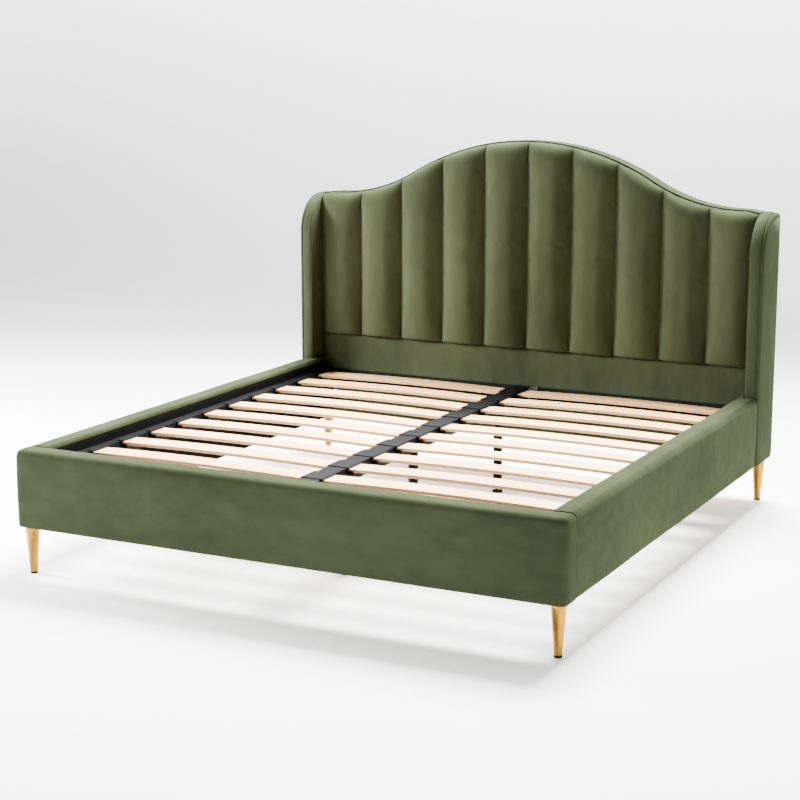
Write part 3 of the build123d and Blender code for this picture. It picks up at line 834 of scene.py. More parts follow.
def cord_tree() -> NodeTree:
    """Round cord along the object's edges, with closed ends.

    Returns:
        A tree with Radius, Sides and Material inputs.
    """
    tree = TreeBuilder("round_cord", {"Radius": ("Float", 0.004), "Sides": ("Int", 12)})
    path = tree.node("MeshToCurve", {"Mesh": tree.enter["Geometry"]})
    ring = tree.node("CurvePrimitiveCircle", {"Resolution": tree.enter["Sides"],
                                              "Radius": tree.enter["Radius"]})
    cord = tree.node("CurveToMesh", {"Curve": path.outputs[0], "Profile Curve": ring.outputs[0],
                                     "Fill Caps": True})
    return tree.dressed(cord.outputs[0])


def staple_tree() -> NodeTree:
    """Wire staples along the object's edges, each lying along the path.

    Returns:
        A tree with Spacing, Wire, Length and Material inputs.
    """
    tree = TreeBuilder("staples_along_path", {"Spacing": ("Float", 0.06), "Wire": ("Float", 0.0005),
                                              "Length": ("Float", 0.011)})
    path = tree.node("MeshToCurve", {"Mesh": tree.enter["Geometry"]})
    places = tree.node("CurveToPoints", {"Curve": path.outputs[0], "Length": tree.enter["Spacing"]},
                       mode="LENGTH")
    staple = tree.node("MeshCylinder", {"Vertices": 8, "Radius": tree.enter["Wire"],
                                        "Depth": tree.enter["Length"]})
    copies = tree.node("InstanceOnPoints", {"Points": places.outputs["Points"],
                                            "Instance": staple.outputs["Mesh"],
                                            "Rotation": places.outputs["Rotation"]})
    return tree.dressed(copies.outputs[0])


def evaluated(piece: Object, tree: NodeTree, **values: object) -> Object:
    """Runs a Geometry Nodes tree on an object and keeps the result as its plain mesh.

    Args:
        piece: the object that holds the source mesh.
        tree: the tree to run.
        **values: the tree's named inputs.

    Returns:
        The same object with its new mesh and no modifier.
    """
    modifier = piece.modifiers.new("tree", "NODES")
    modifier.node_group = tree
    for item in tree.interface.items_tree:
        if item.in_out == "INPUT" and item.name in values:
            modifier[item.identifier] = values[item.name]
    piece.data.update()
    graph = bpy.context.evaluated_depsgraph_get()
    graph.update()
    result = bpy.data.meshes.new_from_object(piece.evaluated_get(graph))
    source = piece.data
    piece.modifiers.remove(modifier)
    piece.data = result
    bpy.data.meshes.remove(source)
    result.name = piece.name
    result.polygons.foreach_set("use_smooth", [True] * len(result.polygons))
    return piece


def path_mesh(points: list[Vector]) -> Mesh:
    """Mesh of edges through points, as the path of a cord."""
    mesh = bpy.data.meshes.new("path")
    mesh.from_pydata(points, [(index, index + 1) for index in range(len(points) - 1)], [])
    return mesh


def sharpened(piece: Object, degrees: float) -> None:
    """Keeps edges that turn further than an angle crisp on a piece that is shaded smooth."""
    piece.data.set_sharp_from_angle(angle=math.radians(degrees))


def keep(piece: Object, material: Material, nodes: list[str],
         body: str = BODY) -> None:
    """Dresses a piece and ties it to the frame.

    Args:
        piece: the finished piece.
        material: its finish.
        nodes: CAD nodes that it stands for.
        body: the CAD body that carries it.
    """
    piece.data.materials.clear()
    piece.data.materials.append(material)
    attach(piece, body)
    if nodes:
        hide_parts(*nodes)
    LOG.info("%s: %d faces", piece.name, len(piece.data.polygons))


def upholstered(name: str, mesh: Mesh, material: Material, node: str, crease: float) -> None:
    """Keeps a padded mesh as one velvet piece.

    Args:
        name: name of the piece.
        mesh: its closed mesh.
        material: its velvet.
        node: CAD node that it stands for.
        crease: degrees that an edge turns before it stays crisp.
    """
    piece = mesh_object(name, mesh)
    sharpened(piece, crease)
    keep(piece, material, [node])


def corded(name: str, points: list[Vector], radius: float, tree: NodeTree, material: Material,
           node: str) -> None:
    """Keeps a round welt along a path.

    Args:
        name: name of the piece.
        points: the path.
        radius: radius of the welt.
        tree: the shared cord tree.
        material: its velvet.
        node: CAD node that it stands for.
    """
    piece = mesh_object(name, path_mesh(points))
    piece = evaluated(piece, tree, Radius=radius, Sides=12, Material=material)
    keep(piece, material, [node])


def stapled(name: str, points: list[Vector], spacing: float, tree: NodeTree, material: Material) -> None:
    """Keeps a row of wire staples along a path.

    Args:
        name: name of the piece.
        points: the path.
        spacing: distance from one staple to the next.
        tree: the shared staple tree.
        material: their steel.
    """
    piece = mesh_object(name, path_mesh(points))
    piece = evaluated(piece, tree, Spacing=spacing, Wire=0.5 * MM, Length=11 * MM, Material=material)
    keep(piece, material, [])


# Sub-assemblies


@dataclass
class Headboard:
    """Channelled panel, lower band, top border and the welt between them."""

    finishes: Finishes
    pads: Box = measured("channel_pads")
    band: Box = measured("lower_band")
    border: Box = measured("top_border")
    cloth: Box = measured("headboard_back_cloth")
    wing: Box = measured("wing_cover_right")
    channels: int = 10
    columns: int = 26
    foot_rows: int = 8
    middle_rows: int = 70
    top_rows: int = 14
    bulge: tuple[float, float] = (2.15, 0.58)
    foot_power: float = 2.6
    top_power: float = 2.2
    groove_depth: float = 25 * MM
    seam_depth: float = 21 * MM
    foot_pinch: float = 20 * MM
    top_roll: float = 74 * MM
    border_thickness: float = 16 * MM
    welt_radius: float = 4 * MM
    welt_sink: float = 1.5 * MM
    clear: float = 0.5 * MM
    thinnest: float = 2 * MM
    back_gap: float = 0.1 * MM
    band_edge: float = 26 * MM
    band_swell: float = 8 * MM
    cloth_rows: int = 62
    wing_margins: tuple[float, float] = (20 * MM, 34 * MM)
    end_drop: float = 8 * MM
    end_run: float = 55 * MM
    cloth_run: ClothRun = ClothRun()

    @property
    def arch(self) -> Arch:
        """Top line of the headboard."""
        return Arch(self.border.low.z + self.border_thickness, self.border.high.z)

    @property
    def half(self) -> float:
        """Half of the panel's width."""
        return self.border.high.x

    @property
    def board(self) -> float:
        """Place of the board's front face."""
        return self.pads.high.y

    def top_line(self, x: float) -> float:
        """Level of the top at a place across the bed, drawn down where it runs in behind a wing.

        Args:
            x: place across the bed.

        Returns:
            The arch's level less the draw at its ends.
        """
        share = min(max(1 - (self.half - abs(x)) / self.end_run, 0.0), 1.0)
        return self.arch.height(x) - self.end_drop * share * share * (3 - 2 * share)

    def channel_surface(self) -> np.ndarray:
        """Front of the channelled panel at rest.

        Returns:
            Points of shape (rows, columns, 3), from the bottom seam up and from left to right.
        """
        local = (1 - np.cos(np.linspace(0, math.pi, self.columns + 1))) / 2
        across = [(index + share, share) for index in range(self.channels) for share in local[:-1]]
        across.append((self.channels, 1.0))
        foot_turn, top_turn = (np.linspace(0, math.pi / 2, count + 1)
                               for count in (self.foot_rows, self.top_rows))
        pinch = [*(self.foot_pinch * (1 - np.cos(foot_turn))[:-1]), self.foot_pinch]
        roll = self.top_roll * (1 - np.sin(top_turn))[1:]
        low = self.pads.low.z
        crown = self.board - self.pads.low.y - self.groove_depth
        rows = []
        for place, share in across:
            x = -self.half + self.clear + (place / self.channels) * 2 * (self.half - self.clear)
            run = self.top_line(x) - self.welt_radius - low
            middle = np.linspace(self.foot_pinch, run - self.top_roll, self.middle_rows + 1)[1:]
            bulge = (1 - abs(2 * share - 1) ** self.bulge[0]) ** self.bulge[1]
            column = []
            for height in (*pinch, *middle, *(run - roll)):
                foot = rounding(height / self.foot_pinch, self.foot_power)
                head = rounding((run - height) / self.top_roll, self.top_power)
                base = self.seam_depth + (self.groove_depth - self.seam_depth) * foot
                depth = (base + crown * bulge * foot) * head
                column.append((x, self.board - max(depth, self.thinnest), low + height))
            rows.append(column)
        return np.array(rows).transpose(1, 0, 2)

    def seams(self, surface: np.ndarray) -> np.ndarray:
        """Marks where the channelled cloth is held: its rim and the seams between channels."""
        held = np.zeros(surface.shape[:2], bool)
        held[:, ::self.columns] = True
        held[0, :] = held[-1, :] = True
        return held

    def channel_panel(self) -> None:
        """Builds the channelled panel, swells its cloth and closes its back."""
        surface = self.channel_surface()
        surface = self.cloth_run.settle(surface, self.seams(surface))
        mesh = grid_mesh("channel_panel", surface)
        solid = bmesh.new()
        solid.from_mesh(mesh)
        rim = [edge for edge in solid.edges if edge.is_boundary]
        grown = bmesh.ops.extrude_edge_only(solid, edges=rim)["geom"]
        for vertex in (item for item in grown if isinstance(item, bmesh.types.BMVert)):
            vertex.co.y = self.board - self.back_gap
        back = [edge for edge in solid.edges if edge.is_boundary]
        bmesh.ops.holes_fill(solid, edges=back, sides=0)
        bmesh.ops.recalc_face_normals(solid, faces=solid.faces)
        solid.to_mesh(mesh)
        solid.free()
        keep(mesh_object("channel_panel", mesh), self.finishes.velvet, ["channel_pads"])

    def lower_band(self) -> None:
        """Builds the plain padded band under the channels."""
        low, high = self.band.low.z, self.band.high.z
        start, end = self.band.low.x, self.band.high.x
        back, corner, bend = self.board - self.back_gap, 12 * MM, 60 * MM
        rings = []
        for x in eased(start + self.clear, end - self.clear, self.band_edge, 16 * MM):
            face = self.band.low.y + edge_inset(x, start, end, self.band_edge) * 0.5
            ring = rounded_ring([(back, low, 0), (back, high, 0), (face + self.band_swell, high, corner),
                                 (face, (low + high) / 2, bend), (face + self.band_swell, low, corner)],
                                [1, 3, 5, 5, 3], 6)
            rings.append([(x, y, z) for y, z in ring])
        mesh = loft(rings)
        ripple(mesh, depth=1.6 * MM, scale=4.0, seed=3.0, outward=Vector((0, -1, 0)))
        upholstered("lower_band_velvet", mesh, self.finishes.velvet, "lower_band", crease=50)

    def top_border(self) -> None:
        """Builds the velvet strip over the arched top."""
        front, back = self.border.low.y + self.clear, self.border.high.y
        back_drop, back_radius = 1 * MM, 9 * MM
        front_drop, front_radius = 1.5 * MM, 5 * MM
        rings = []
        for x in spaced(-self.half + self.clear, self.half - self.clear, 10 * MM):
            top = self.top_line(x)
            under = top - self.border_thickness
            ring = rounded_ring([(front, under, 0), (back, under, 0), (back, top - back_drop, back_radius),
                                 (front, top - front_drop, front_radius)], [2, 1, 8, 1], 5)
            rings.append([(x, y, z) for y, z in ring])
        upholstered("top_border_velvet", loft(rings), self.finishes.velvet, "top_border", crease=50)

    def top_welt(self, tree: NodeTree) -> None:
        """Builds the welt over the arch from the shared cord tree."""
        points = [Vector((x, self.border.low.y, self.top_line(x) - self.welt_sink))
                  for x in spaced(-self.half + self.clear, self.half - self.clear, 8 * MM)]
        corded("top_welt_cord", points, self.welt_radius, tree, self.finishes.velvet, "top_welt")

    def back_range(self, x: float) -> tuple[float, float]:
        """Lower and upper edge of the back cloth at a distance from the middle."""
        if abs(x) <= self.half:
            return self.cloth.low.z, self.top_line(x) - self.border_thickness / 2 - 1 * MM
        return self.wing.low.z + self.wing_margins[0], self.wing.high.z - self.wing_margins[1]

    def back_cloth(self, staples: NodeTree) -> None:
        """Builds the thin cloth over the back and the staples along its top edge."""
        step, gap, held_share = 16 * MM, 0.5 * MM, 0.08
        sink, swing, thickness = 1.1 * MM, 0.5 * MM, 0.9 * MM
        inner = spaced(-self.half, self.half, step)
        outer = spaced(self.half + gap, self.cloth.high.x - gap, step)
        columns = np.concatenate([-outer[::-1], inner, outer])
        points = []
        for share in np.linspace(0, 1, self.cloth_rows):
            hold = min(share, 1 - share, held_share) / held_share
            for x in columns:
                low, high = self.back_range(x)
                z = low + (high - low) * share
                wave = noise.noise(Vector((x * 2.6, z * 3.4, 7.0))) * hold
                points.append((-x, self.cloth.high.y - sink + swing * wave, z))
        piece = cloth_piece("headboard_back_lining", points, len(columns), thickness)
        keep(piece, self.finishes.lining, ["headboard_back_cloth"])
        spans = [self.back_range(x) for x in columns]
        inset, margin, y = 12 * MM, 14 * MM, self.cloth.high.y - 0.6 * MM
        path = [Vector((x, y, high - inset)) for x, (_, high) in zip(columns, spans)
                if abs(x) < self.half - margin]
        stapled("back_staples", path, 0.055, staples, self.finishes.steel)

    def build(self, cord: NodeTree, staples: NodeTree) -> None:
        """Builds every piece of the headboard's front and the cloth on its back."""
        self.channel_panel()
        self.lower_band()
        self.top_border()
        self.top_welt(cord)
        self.back_cloth(staples)


@dataclass
class Wing:
    """One padded wing: its front strip lies between a thin welt inside and a sewn groove outside."""

    side: Side
    finishes: Finishes
    cover: Box = measured("wing_cover_right")
    rail: Box = measured("side_rail_cover_right")
    front_radius: float = 168 * MM
    back_radius: float = 34 * MM
    foot_radius: float = 20 * MM
    inner_edge: float = 9 * MM
    outer_edge: float = 12 * MM
    seam_place: float = 14 * MM
    seam_depth: float = 2.8 * MM
    seam_half_width: float = 1.5 * MM
    crown: float = 4.2 * MM
    crown_powers: tuple[float, float] = (2.2, 0.8)
    edge_share: float = 0.8
    bottom_radius: float = 3 * MM
    welt_radius: float = 2.7 * MM
    welt_sink: float = 1.2 * MM

    def inset(self, x: float) -> float:
        """How far the front and the top are drawn in at a place across the wing.

        Args:
            x: place across the wing, on the right side of the bed.

        Returns:
            The rounded edges, the crown of the front strip and its outer seam together.
        """
        low, high, away = self.cover.low.x, self.cover.high.x, 1.0
        edge = (edge_inset(x, low, high + away, self.inner_edge)
                + edge_inset(x, low - away, high, self.outer_edge))
        seam = high - self.seam_place
        share = min(max((x - low) / (seam - low), 0.0), 1.0)
        first, second = self.crown_powers
        swell = self.crown * (1 - (1 - abs(2 * share - 1) ** first) ** second)
        cut = self.seam_depth * math.exp(-((x - seam) / self.seam_half_width) ** 2)
        return edge * self.edge_share + swell + cut

    def stations(self) -> np.ndarray:
        """Places across the wing, close together in its edges and beside its seam."""
        low, high = self.cover.low.x, self.cover.high.x
        seam, reach = high - self.seam_place, 3 * self.seam_half_width
        inner = self.inner_edge * (1 - np.cos(np.linspace(0, math.pi / 2, 7)))
        outer = (self.seam_place - reach) * (1 - np.sin(np.linspace(0, math.pi / 2, 8)))
        return np.concatenate([low + inner[:-1], spaced(low + self.inner_edge, seam - reach, 3.5 * MM)[:-1],
                               spaced(seam - reach, seam + reach, 0.9 * MM)[:-1], high - outer])

    def corners(self, inset: float) -> list[Triple]:
        """Side view of the wing, drawn in by an inset.

        Args:
            inset: how far the front and the top are drawn in.

        Returns:
            Corners (y, z, radius).
        """
        front, back = self.cover.low.y + inset, self.cover.high.y
        bottom, top = self.cover.low.z + min(inset, self.bottom_radius), self.cover.high.z - inset
        return [(front, bottom, self.bottom_radius), (back, bottom, self.foot_radius),
                (back, top, self.back_radius - inset), (front, top, self.front_radius - inset)]

    def body(self) -> None:
        """Builds the padded cover as one closed form."""
        rings = []
        for x in self.stations():
            ring = rounded_ring(self.corners(self.inset(x)), [3, 36, 2, 36], 14)
            rings.append([(x, y, z) for y, z in ring])
        word = self.side.word
        upholstered(f"wing_velvet_{word}", mirrored(loft(rings), self.side), self.finishes.velvet,
                    f"wing_cover_{word}", crease=60)

    def welt_path(self, x: float, start: float) -> list[Vector]:
        """Path of the welt up the inner front edge and over the rounded top.

        Args:
            x: place across the wing.
            start: level where it begins.

        Returns:
            The points of the path.
        """
        sink = self.inset(abs(x)) + self.welt_sink
        front, top, bend = self.cover.low.y + sink, self.cover.high.z - sink, self.front_radius - sink
        points = [Vector((x, front, z)) for z in spaced(start, top - bend, 20 * MM)]
        for angle in np.linspace(0, math.pi / 2, 24)[1:]:
            points.append(Vector((x, front + bend * (1 - math.cos(angle)),
                                  top - bend + bend * math.sin(angle))))
        points += [Vector((x, y, top)) for y in spaced(front + bend, self.cover.high.y - self.back_radius,
                                                       10 * MM)[1:]]
        return points

    def welt(self, tree: NodeTree) -> None:
        """Builds the thin welt along the inner edge of the front strip."""
        inset, lift = 0.4 * MM, 3 * MM
        path = self.welt_path(self.side.value * (self.cover.low.x + self.welt_radius + inset),
                              self.rail.high.z + lift)
        name = f"wing_welt_{self.side.word}"
        corded(name, path, self.welt_radius, tree, self.finishes.velvet, name)

    def build(self, cord: NodeTree) -> None:
        """Builds the wing's cover and welt."""
        self.body()
        self.welt(cord)


@dataclass
class Rails:
    """Padded covers of the foot rail and the side rails, and their linings."""

    finishes: Finishes
    foot: Box = measured("foot_rail_cover")
    side: Box = measured("side_rail_cover_right")
    wing: Box = measured("wing_cover_right")
    lining: Box = measured("side_rail_lining_right")
    outer_radius: float = 24 * MM
    inner_radius: float = 11 * MM
    under_radius: float = 6 * MM
    corner_radius: float = 30 * MM
    wrap: float = 3 * MM
    fold: float = 15 * MM
    crown: float = 3 * MM
    step: float = 18 * MM
    gap: float = 0.5 * MM
    wing_gap: float = 0.8 * MM
    seam: float = 3.8 * MM
    turn: float = 3.5 * MM
    overlap: float = 4 * MM
    middle_bend: float = 200 * MM
    parts: tuple[int, ...] = (12, 1, 1, 2, 7, 7, 4)

    def section(self, outer: float, inner: float, low: float, high: float, inset: float) -> list:
        """Corners of a rail's section with a slightly crowned outer face.

        Args:
            outer: place of the outer face, smaller than the inner one.
            inner: place of the inner face.
            low: lower level.
            high: upper level.
            inset: how far the outer face and the top are drawn in near an end.

        Returns:
            Corners (u, z, radius).
        """
        middle = (low + high) / 2
        recess, edge = inner - self.wrap, high - self.fold
        return [(recess, low, 0), (recess, edge, 0), (inner, edge, 0),
                (inner, high - inset, self.inner_radius),
                (outer + inset + self.crown, high - inset, self.outer_radius),
                (outer + inset, middle, self.middle_bend),
                (outer + inset + self.crown, low, self.under_radius)]

    def foot_cover(self) -> None:
        """Builds the foot rail's cover with rounded front corners."""
        box = self.foot
        rings = []
        for x in eased(box.low.x, box.high.x, self.corner_radius, self.step, 9):
            inset, top, under = (edge_inset(x, box.low.x, box.high.x, radius)
                                 for radius in (self.corner_radius, self.outer_radius, self.under_radius))
            corners = self.section(box.low.y, box.high.y, box.low.z + under, box.high.z, 0)
            corners = [(u + (inset if u < box.middle.y else 0),
                        z - (top if z > box.high.z - 1 * MM else 0), r) for u, z, r in corners]
            ring = rounded_ring(corners, list(self.parts), 7)
            rings.append([(x, y, z) for y, z in ring])
        mesh = loft(rings)
        ripple(mesh, depth=2.4 * MM, scale=3.0, seed=11.0, outward=Vector((0, -1, 0)))
        upholstered("foot_rail_velvet", mesh, self.finishes.rail_velvet, "foot_rail_cover",
                    crease=60)

    def side_cover(self, side: Side) -> None:
        """Builds a side rail's cover, cut beside the wing."""
        box = self.side
        start, end = box.low.y + self.seam, self.wing.low.y - self.wing_gap
        rings = []
        for y in eased(start, end, self.turn, self.step, 4):
            inset = edge_inset(y, start, end, self.turn)
            corners = self.section(-box.high.x, -box.low.x, box.low.z, box.high.z, inset)
            ring = rounded_ring(corners, list(self.parts), 7)
            rings.append([(-u, y, z) for u, z in ring])
        outer, inner = -(self.wing.low.x - self.wing_gap), -box.low.x
        low, high, edge = box.low.z, box.high.z, box.high.z - self.fold
        ring = rounded_ring([(inner - self.wrap, low, 0), (inner - self.wrap, edge, 0), (inner, edge, 0),
                             (inner, high, self.inner_radius), (outer, high, self.inner_radius),
                             (outer, low, 0)], [12, 1, 1, 1, 12, 1], 6)
        run_on = [[(-u, y, z) for u, z in ring]
                  for y in spaced(self.wing.low.y - self.overlap, box.high.y, self.step)]
        mesh = mirrored(joined("side", [loft(rings), loft(run_on)]), side)
        ripple(mesh, depth=2.2 * MM, scale=3.0, seed=20.0 + side.value, outward=Vector((side.value, 0, 0)))
        upholstered(f"side_rail_velvet_{side.word}", mesh, self.finishes.rail_velvet,
                    f"side_rail_cover_{side.word}", crease=60)

    def lining_sheet(self, node: str, along: tuple[float, float], face: float, across: str) -> None:
        """Builds a thin lining that is stapled under the fold and lies a little uneven.

        Args:
            node: CAD node that it stands for.
            along: where it starts and ends along the rail.
            face: place of the rail's inner face.
            across: axis that the face looks along, x or y.
        """
        box = Box.of(node)
        swing, sink, held = 0.8 * MM, 1.6 * MM, 60 * MM
        columns = spaced(along[0], along[1], 14 * MM)
        rows = spaced(box.low.z + 1 * MM, box.high.z - 0.5 * MM, 12 * MM)
        inward = -1 if face > 0 else 1
        points = []
        for z in rows:
            hold = min((box.high.z - z) / held, 1.0)
            for run in columns:
                slow = noise.noise(Vector((run * 7.0, z * 3.0, face * 5)))
                quick = noise.noise(Vector((run * 21.0, z * 9.0, face * 9 + 4)))
                place = face + inward * (swing * (0.6 * slow + 0.4 * quick) * hold - sink)
                points.append((place, run, z) if across == "x" else (run, place, z))
        piece = cloth_piece(f"{node}_cloth", points, len(columns), 1 * MM)
        keep(piece, self.finishes.lining, [node])

    def staple_row(self, name: str, start: Vector, end: Vector, tree: NodeTree) -> None:
        """Builds the staples along a lining's upper edge."""
        count = 40
        path = [start.lerp(end, step / count) for step in range(count + 1)]
        stapled(name, path, 0.06, tree, self.finishes.steel)

    def linings(self, staples: NodeTree) -> None:
        """Builds the three linings and their staples."""
        reach = self.side.low.x - self.gap
        level, inset, proud = self.lining.high.z - 7 * MM, 30 * MM, 0.8 * MM
        self.staple_row("foot_rail_staples", Vector((inset - reach, self.foot.high.y - proud, level)),
                        Vector((reach - inset, self.foot.high.y - proud, level)), staples)
        for side in Side:
            x = side.value * (self.side.low.x + proud)
            self.staple_row(f"side_rail_staples_{side.word}", Vector((x, self.side.low.y + inset, level)),
                            Vector((x, self.side.high.y - inset, level)), staples)
        self.lining_sheet("foot_rail_lining", (-reach, reach), self.foot.high.y, "y")
        for side in Side:
            self.lining_sheet(f"side_rail_lining_{side.word}",
                              (self.side.low.y + self.gap, self.side.high.y - self.gap),
                              side.value * self.side.low.x, "x")

    def build(self, staples: NodeTree) -> None:
        """Builds the covers and the linings."""
        self.foot_cover()
        for side in Side:
            self.side_cover(side)
        self.linings(staples)


@dataclass
class Deck:
    """Bowed slats and their plastic holders."""

    finishes: Finishes
    slats: Box = measured("slats_right")
    holders: Box = measured("slat_holders_right")
    centre: Box = measured("slat_holders_centre")
    ledger: Box = measured("side_ledger_right")
    beam: Box = measured("centre_beam")
    wall: float = 4 * MM
    cheek: float = 4 * MM
    reach: float = 22 * MM
    roof: float = 6 * MM
    lip: float = 3 * MM
    plate: float = 3 * MM
    head_room: float = 1.2 * MM
    slack: float = 0.3 * MM
    cheek_drop: float = 0.2 * MM
    bevel: float = 0.8 * MM
    count: int = 11
    width: float = 90 * MM
    thickness: float = 12 * MM
    edge: float = 2 * MM

    @property
    def bow(self) -> float:
        """Rise of a slat's middle above its ends."""
        return self.slats.high.z - self.slats.low.z - self.thickness

    @property
    def pitch(self) -> float:
        """Distance from one slat to the next."""
        return (self.slats.high.y - self.slats.low.y - self.width) / (self.count - 1)

    def slat(self) -> Mesh:
        """One slat of the right column, at the foot end, with rounded long edges."""
        low, high = self.slats.low, self.slats.high
        half, depth, edge = self.width / 2, self.thickness, self.edge
        outline = rounded_ring([(-half, 0, edge), (half, 0, edge), (half, depth, edge), (-half, depth, edge)],
                               [4, 1, 4, 1], 3)
        rings = []
        for x in spaced(low.x, high.x, 22 * MM):
            share = (x - low.x) / (high.x - low.x)
            rise = 4 * self.bow * share * (1 - share)
            rings.append([(x, low.y + half + u, low.z + v + rise) for u, v in outline])
        mesh = loft(rings)
        layer = mesh.attributes.new("layer", "FLOAT", "POINT")
        layer.data.foreach_set("value", [v / depth for _ in rings for _, v in outline])
        return mesh

    def row(self, kind: str, word: str, mesh: Mesh, tree: NodeTree, dress: tuple[Material, str, str]) -> None:
        """Keeps a row of copies of a mesh, one at each slat.

        Args:
            kind: what the pieces are called.
            word: which row it is, left, right or centre.
            mesh: the first copy.
            tree: the shared row tree.
            dress: finish, material slot and start of the CAD node's name.
        """
        material, slot, node = dress
        piece = mesh_object(f"{kind}_{word}", mesh)
        piece = evaluated(piece, tree, Count=self.count, Step=(0, self.pitch, 0), Material=material)
        sharpened(piece, 30)
        keep(piece, material, [f"{node}_{word}"])

    def slat_rows(self, tree: NodeTree) -> None:
        """Builds both columns of slats from one slat each."""
        for side in Side:
            self.row("birch_slats", side.word, mirrored(self.slat(), side), tree,
                     (self.finishes.birch, "birch", "slats"))

    def seat(self, face: float, inward: int) -> list[tuple[tuple, tuple]]:
        """Boxes of the socket that holds a slat's end.

        Args:
            face: place of the steel's side face.
            inward: direction from the steel towards the slat, along X.

        Returns:
            Low and high corners of the boxes, around the first slat.
        """
        middle, half = self.slats.low.y + self.width / 2, self.width / 2 + self.wall
        low, rest, top = self.holders.low.z, self.slats.low.z, self.centre.high.z
        roof = rest + self.thickness + self.head_room

        def box(near: float, far: float, sides: tuple, levels: tuple) -> tuple[tuple, tuple]:
            """One box between two distances from the steel."""
            ends = sorted((face + inward * near, face + inward * far))
            return (ends[0], middle + sides[0], levels[0]), (ends[1], middle + sides[1], levels[1])

        lips = [(-half, self.slack - half + self.wall), (half - self.wall - self.slack, half)]
        return [box(0, self.cheek, (-half, half), (low, top - self.cheek_drop)),
                box(0, self.cheek + self.reach, (-half, half), (low, rest)),
                box(0, self.cheek + self.roof, (-half, half), (roof, roof + self.lip)),
                *(box(0, self.cheek + self.reach, sides, (low, rest + self.lip)) for sides in lips)]

    def holder_rows(self, tree: NodeTree) -> None:
        """Builds the three rows of plastic holders from one holder each."""
        middle, half = self.slats.low.y + self.width / 2, self.width / 2 + self.wall
        top = self.centre.high.z
        face, beam = self.ledger.low.x, self.beam.high.x
        centre = (-beam - self.cheek, beam + self.cheek, [*self.seat(beam, 1), *self.seat(-beam, -1)])
        outer = (face - self.cheek, self.holders.high.x, self.seat(face, -1))
        for word, side, (near, far, seats) in (("centre", Side.RIGHT, centre),
                                               *((side.word, side, outer) for side in Side)):
            plate = ((near, middle - half, top - self.plate), (far, middle + half, top))
            mesh = mirrored(bevelled_boxes([plate, *seats], self.bevel), side)
            self.row("plastic_holders", word, mesh, tree,
                     (self.finishes.plastic, "black_plastic", "slat_holders"))

    def build(self, row: NodeTree) -> None:
        """Builds the slats and their holders."""
        self.slat_rows(row)
        self.holder_rows(row)


@dataclass
class Legs:
    """Turned brass legs."""

    finishes: Finishes
    segments: int = 48
    rings: int = 13
    collar: float = 1.2 * MM
    collar_share: float = 0.3
    foot_share: float = 0.5

    def leg(self, node: str) -> None:
        """Builds one leg as a smooth turned form.

        Args:
            node: CAD node of the leg.
        """
        box = Box.of(node)
        low, high, centre, collar = box.low.z, box.high.z, box.middle, self.collar
        top = (box.high.x - box.low.x) / 2
        foot = top * self.foot_share
        profile = [(0, low), (foot - collar, low), (foot, low + collar)]
        profile += [(foot + (top - foot) * share - collar * self.collar_share,
                     low + collar + (high - low - 2 * collar) * share)
                    for share in np.linspace(0, 1, self.rings + 1)[1:]]
        profile += [(top - collar, high), (0, high)]
        solid = bmesh.new()
        verts = [solid.verts.new((centre.x + r, centre.y, z)) for r, z in profile]
        for first, second in zip(verts, verts[1:]):
            solid.edges.new((first, second))
        bmesh.ops.spin(solid, geom=solid.verts[:] + solid.edges[:], cent=(centre.x, centre.y, 0),
                       axis=(0, 0, 1), angle=2 * math.pi, steps=self.segments, use_duplicate=False)
        bmesh.ops.remove_doubles(solid, verts=solid.verts, dist=0.01 * MM)
        bmesh.ops.recalc_face_normals(solid, faces=solid.faces)
        piece = mesh_object(f"brass_{node}", mesh_from_bmesh(solid))
        sharpened(piece, 40)
        keep(piece, self.finishes.brass, [node])

    def build(self) -> None:
        """Builds the four legs."""
        for end in ("foot", "head"):
            for side in Side:
                self.leg(f"corner_leg_{end}_{side.word}")


# Carried-over nodes


def dress_nodes(frame: dict, finishes: Finishes) -> None:
    """Gives every CAD node that stays its finish.

    Args:
        frame: the loaded frame.
        finishes: the materials.
    """
    by_slot = {
        "velvet": finishes.velvet, "welt_velvet": finishes.velvet, "lining": finishes.lining,
        "timber": finishes.pine, "plywood": finishes.plywood, "birch": finishes.birch,
        "black_plastic": finishes.plastic, "brass": finishes.brass, "black_steel": finishes.steel,
        "foot_black": finishes.plastic, "zinc_steel": finishes.zinc,
    }
    slots = {part["node"]: part["material_slot"] for part in frame["record"]["subparts"]}
    for name, node in frame["nodes"].items():
        node.data.materials.clear()
        node.data.materials.append(by_slot[slots[name]])


# Studio


@dataclass(frozen=True)
class Lamp:
    """One soft square light."""

    name: str
    place: Triple
    target: Triple
    size: float
    power: float
    spread: float = 180.0

    def build(self) -> None:
        """Adds the light to the scene."""
        data = bpy.data.lights.new(self.name, "AREA")
        data.spread = math.radians(self.spread)
        data.size = self.size
        data.energy = self.power
        lamp = bpy.data.objects.new(self.name, data)
        bpy.context.collection.objects.link(lamp)
        lamp.location = self.place
        lamp.rotation_euler = (Vector(self.target) - Vector(self.place)).to_track_quat("-Z", "Y").to_euler()


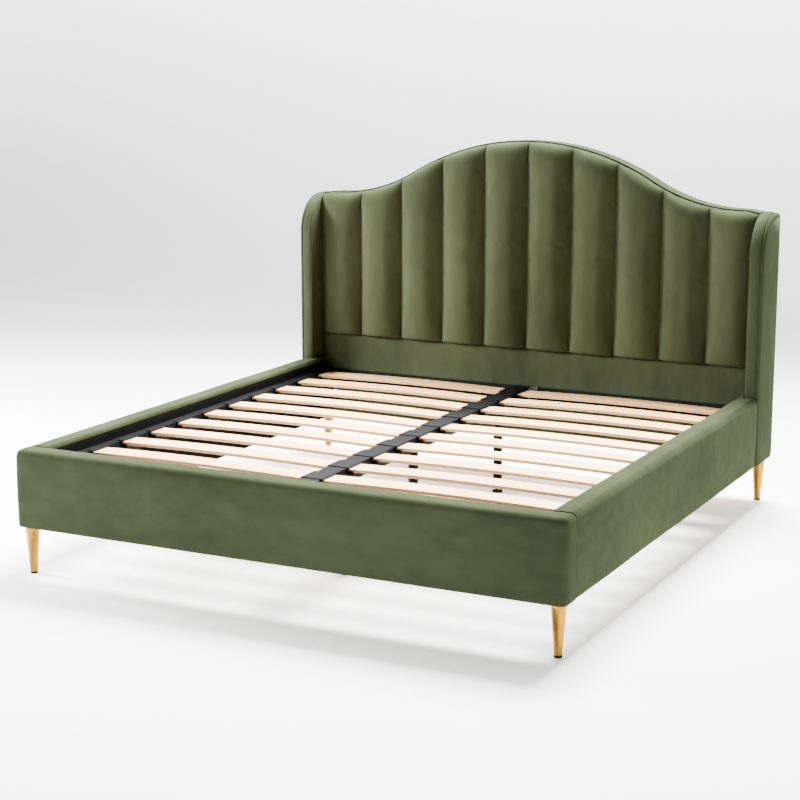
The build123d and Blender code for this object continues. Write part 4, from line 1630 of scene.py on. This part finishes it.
@dataclass(frozen=True)
class Studio:
    """Pale floor, soft lights and the camera."""

    camera_place: Triple = (3.0938, -6.3236, 1.9651)
    yaw: float = 0.4665
    pitch: float = -0.2013
    focal_pixels: float = 1879.4
    glow: tuple[float, float] = (0.30, 3.8)
    glow_height: float = 2.5
    reach: float = 60.0
    sweep: float = 4.5
    sweep_radius: float = 3.5
    wall: float = 14.0
    world_light: float = 0.05
    lamps: tuple[Lamp, ...] = (
        Lamp("key", (-4.8, -0.7, 2.0), (0.3, 0.8, 0.8), 1.2, 1500),
        Lamp("foot", (-3.2, -3.6, 1.1), (-0.7, -1.1, 0.3), 0.8, 34, 60),
        Lamp("top", (0.2, 2.5, 5.0), (0, -0.3, 0), 2.4, 1350, 100),
    )

    def camera(self) -> None:
        """Sets the camera at the photograph's angle."""
        data = bpy.data.cameras.new("camera")
        data.lens = self.focal_pixels / IMAGE_SIDE * SENSOR_WIDTH
        data.sensor_width = SENSOR_WIDTH
        camera = bpy.data.objects.new("camera", data)
        bpy.context.collection.objects.link(camera)
        camera.location = self.camera_place
        camera.rotation_euler = (math.pi / 2 + self.pitch, 0, self.yaw)
        bpy.context.scene.camera = camera

    def floor(self) -> None:
        """Makes a wide pale floor that sweeps up behind the bed and glows a little there."""
        bend = self.sweep_radius
        profile = [(-self.reach, 0.0), (self.sweep, 0.0)]
        profile += [(self.sweep + bend * math.sin(turn), bend - bend * math.cos(turn))
                    for turn in np.linspace(0, math.pi / 2, 17)[1:]]
        profile.append((self.sweep + bend, self.wall))
        points = [Vector((x, y, z)) for y, z in profile for x in (-self.reach, self.reach)]
        quads = [(2 * row, 2 * row + 1, 2 * row + 3, 2 * row + 2) for row in range(len(profile) - 1)]
        mesh = bpy.data.meshes.new("studio_floor")
        mesh.from_pydata(points, [], quads)
        floor = mesh_object("studio_floor", mesh)
        paint = Paint("pale_floor")
        paint.set(Base_Color=(0.9, 0.9, 0.9, 1), Roughness=0.9, Emission_Strength=1.0)
        height = paint.node("SeparateXYZ", {0: paint.coordinates}).outputs["Z"]
        paint.link(paint.ranged(height, (0.0, self.glow_height), self.glow), "Emission Color")
        floor.data.materials.append(paint.material)

    def build(self) -> None:
        """Builds the floor, lights, world and camera."""
        self.floor()
        self.camera()
        for lamp in self.lamps:
            lamp.build()
        world = bpy.data.worlds.new("studio")
        world.use_nodes = True
        background = world.node_tree.nodes["Background"].inputs
        background["Color"].default_value = (1, 1, 1, 1)
        background["Strength"].default_value = self.world_light
        bpy.context.scene.world = world


def main() -> None:
    """Builds the bed's looks around the frame."""
    logging.basicConfig(level=logging.INFO, format="%(name)s %(message)s")
    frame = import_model()
    finishes = Finishes()
    dress_nodes(frame, finishes)
    row, cord, staples = row_tree(), cord_tree(), staple_tree()
    Studio().build()
    Headboard(finishes).build(cord, staples)
    for side in Side:
        Wing(side, finishes).build(cord)
    Rails(finishes).build(staples)
    Deck(finishes).build(row)
    Legs(finishes).build()


if __name__ == "__main__":
    main()
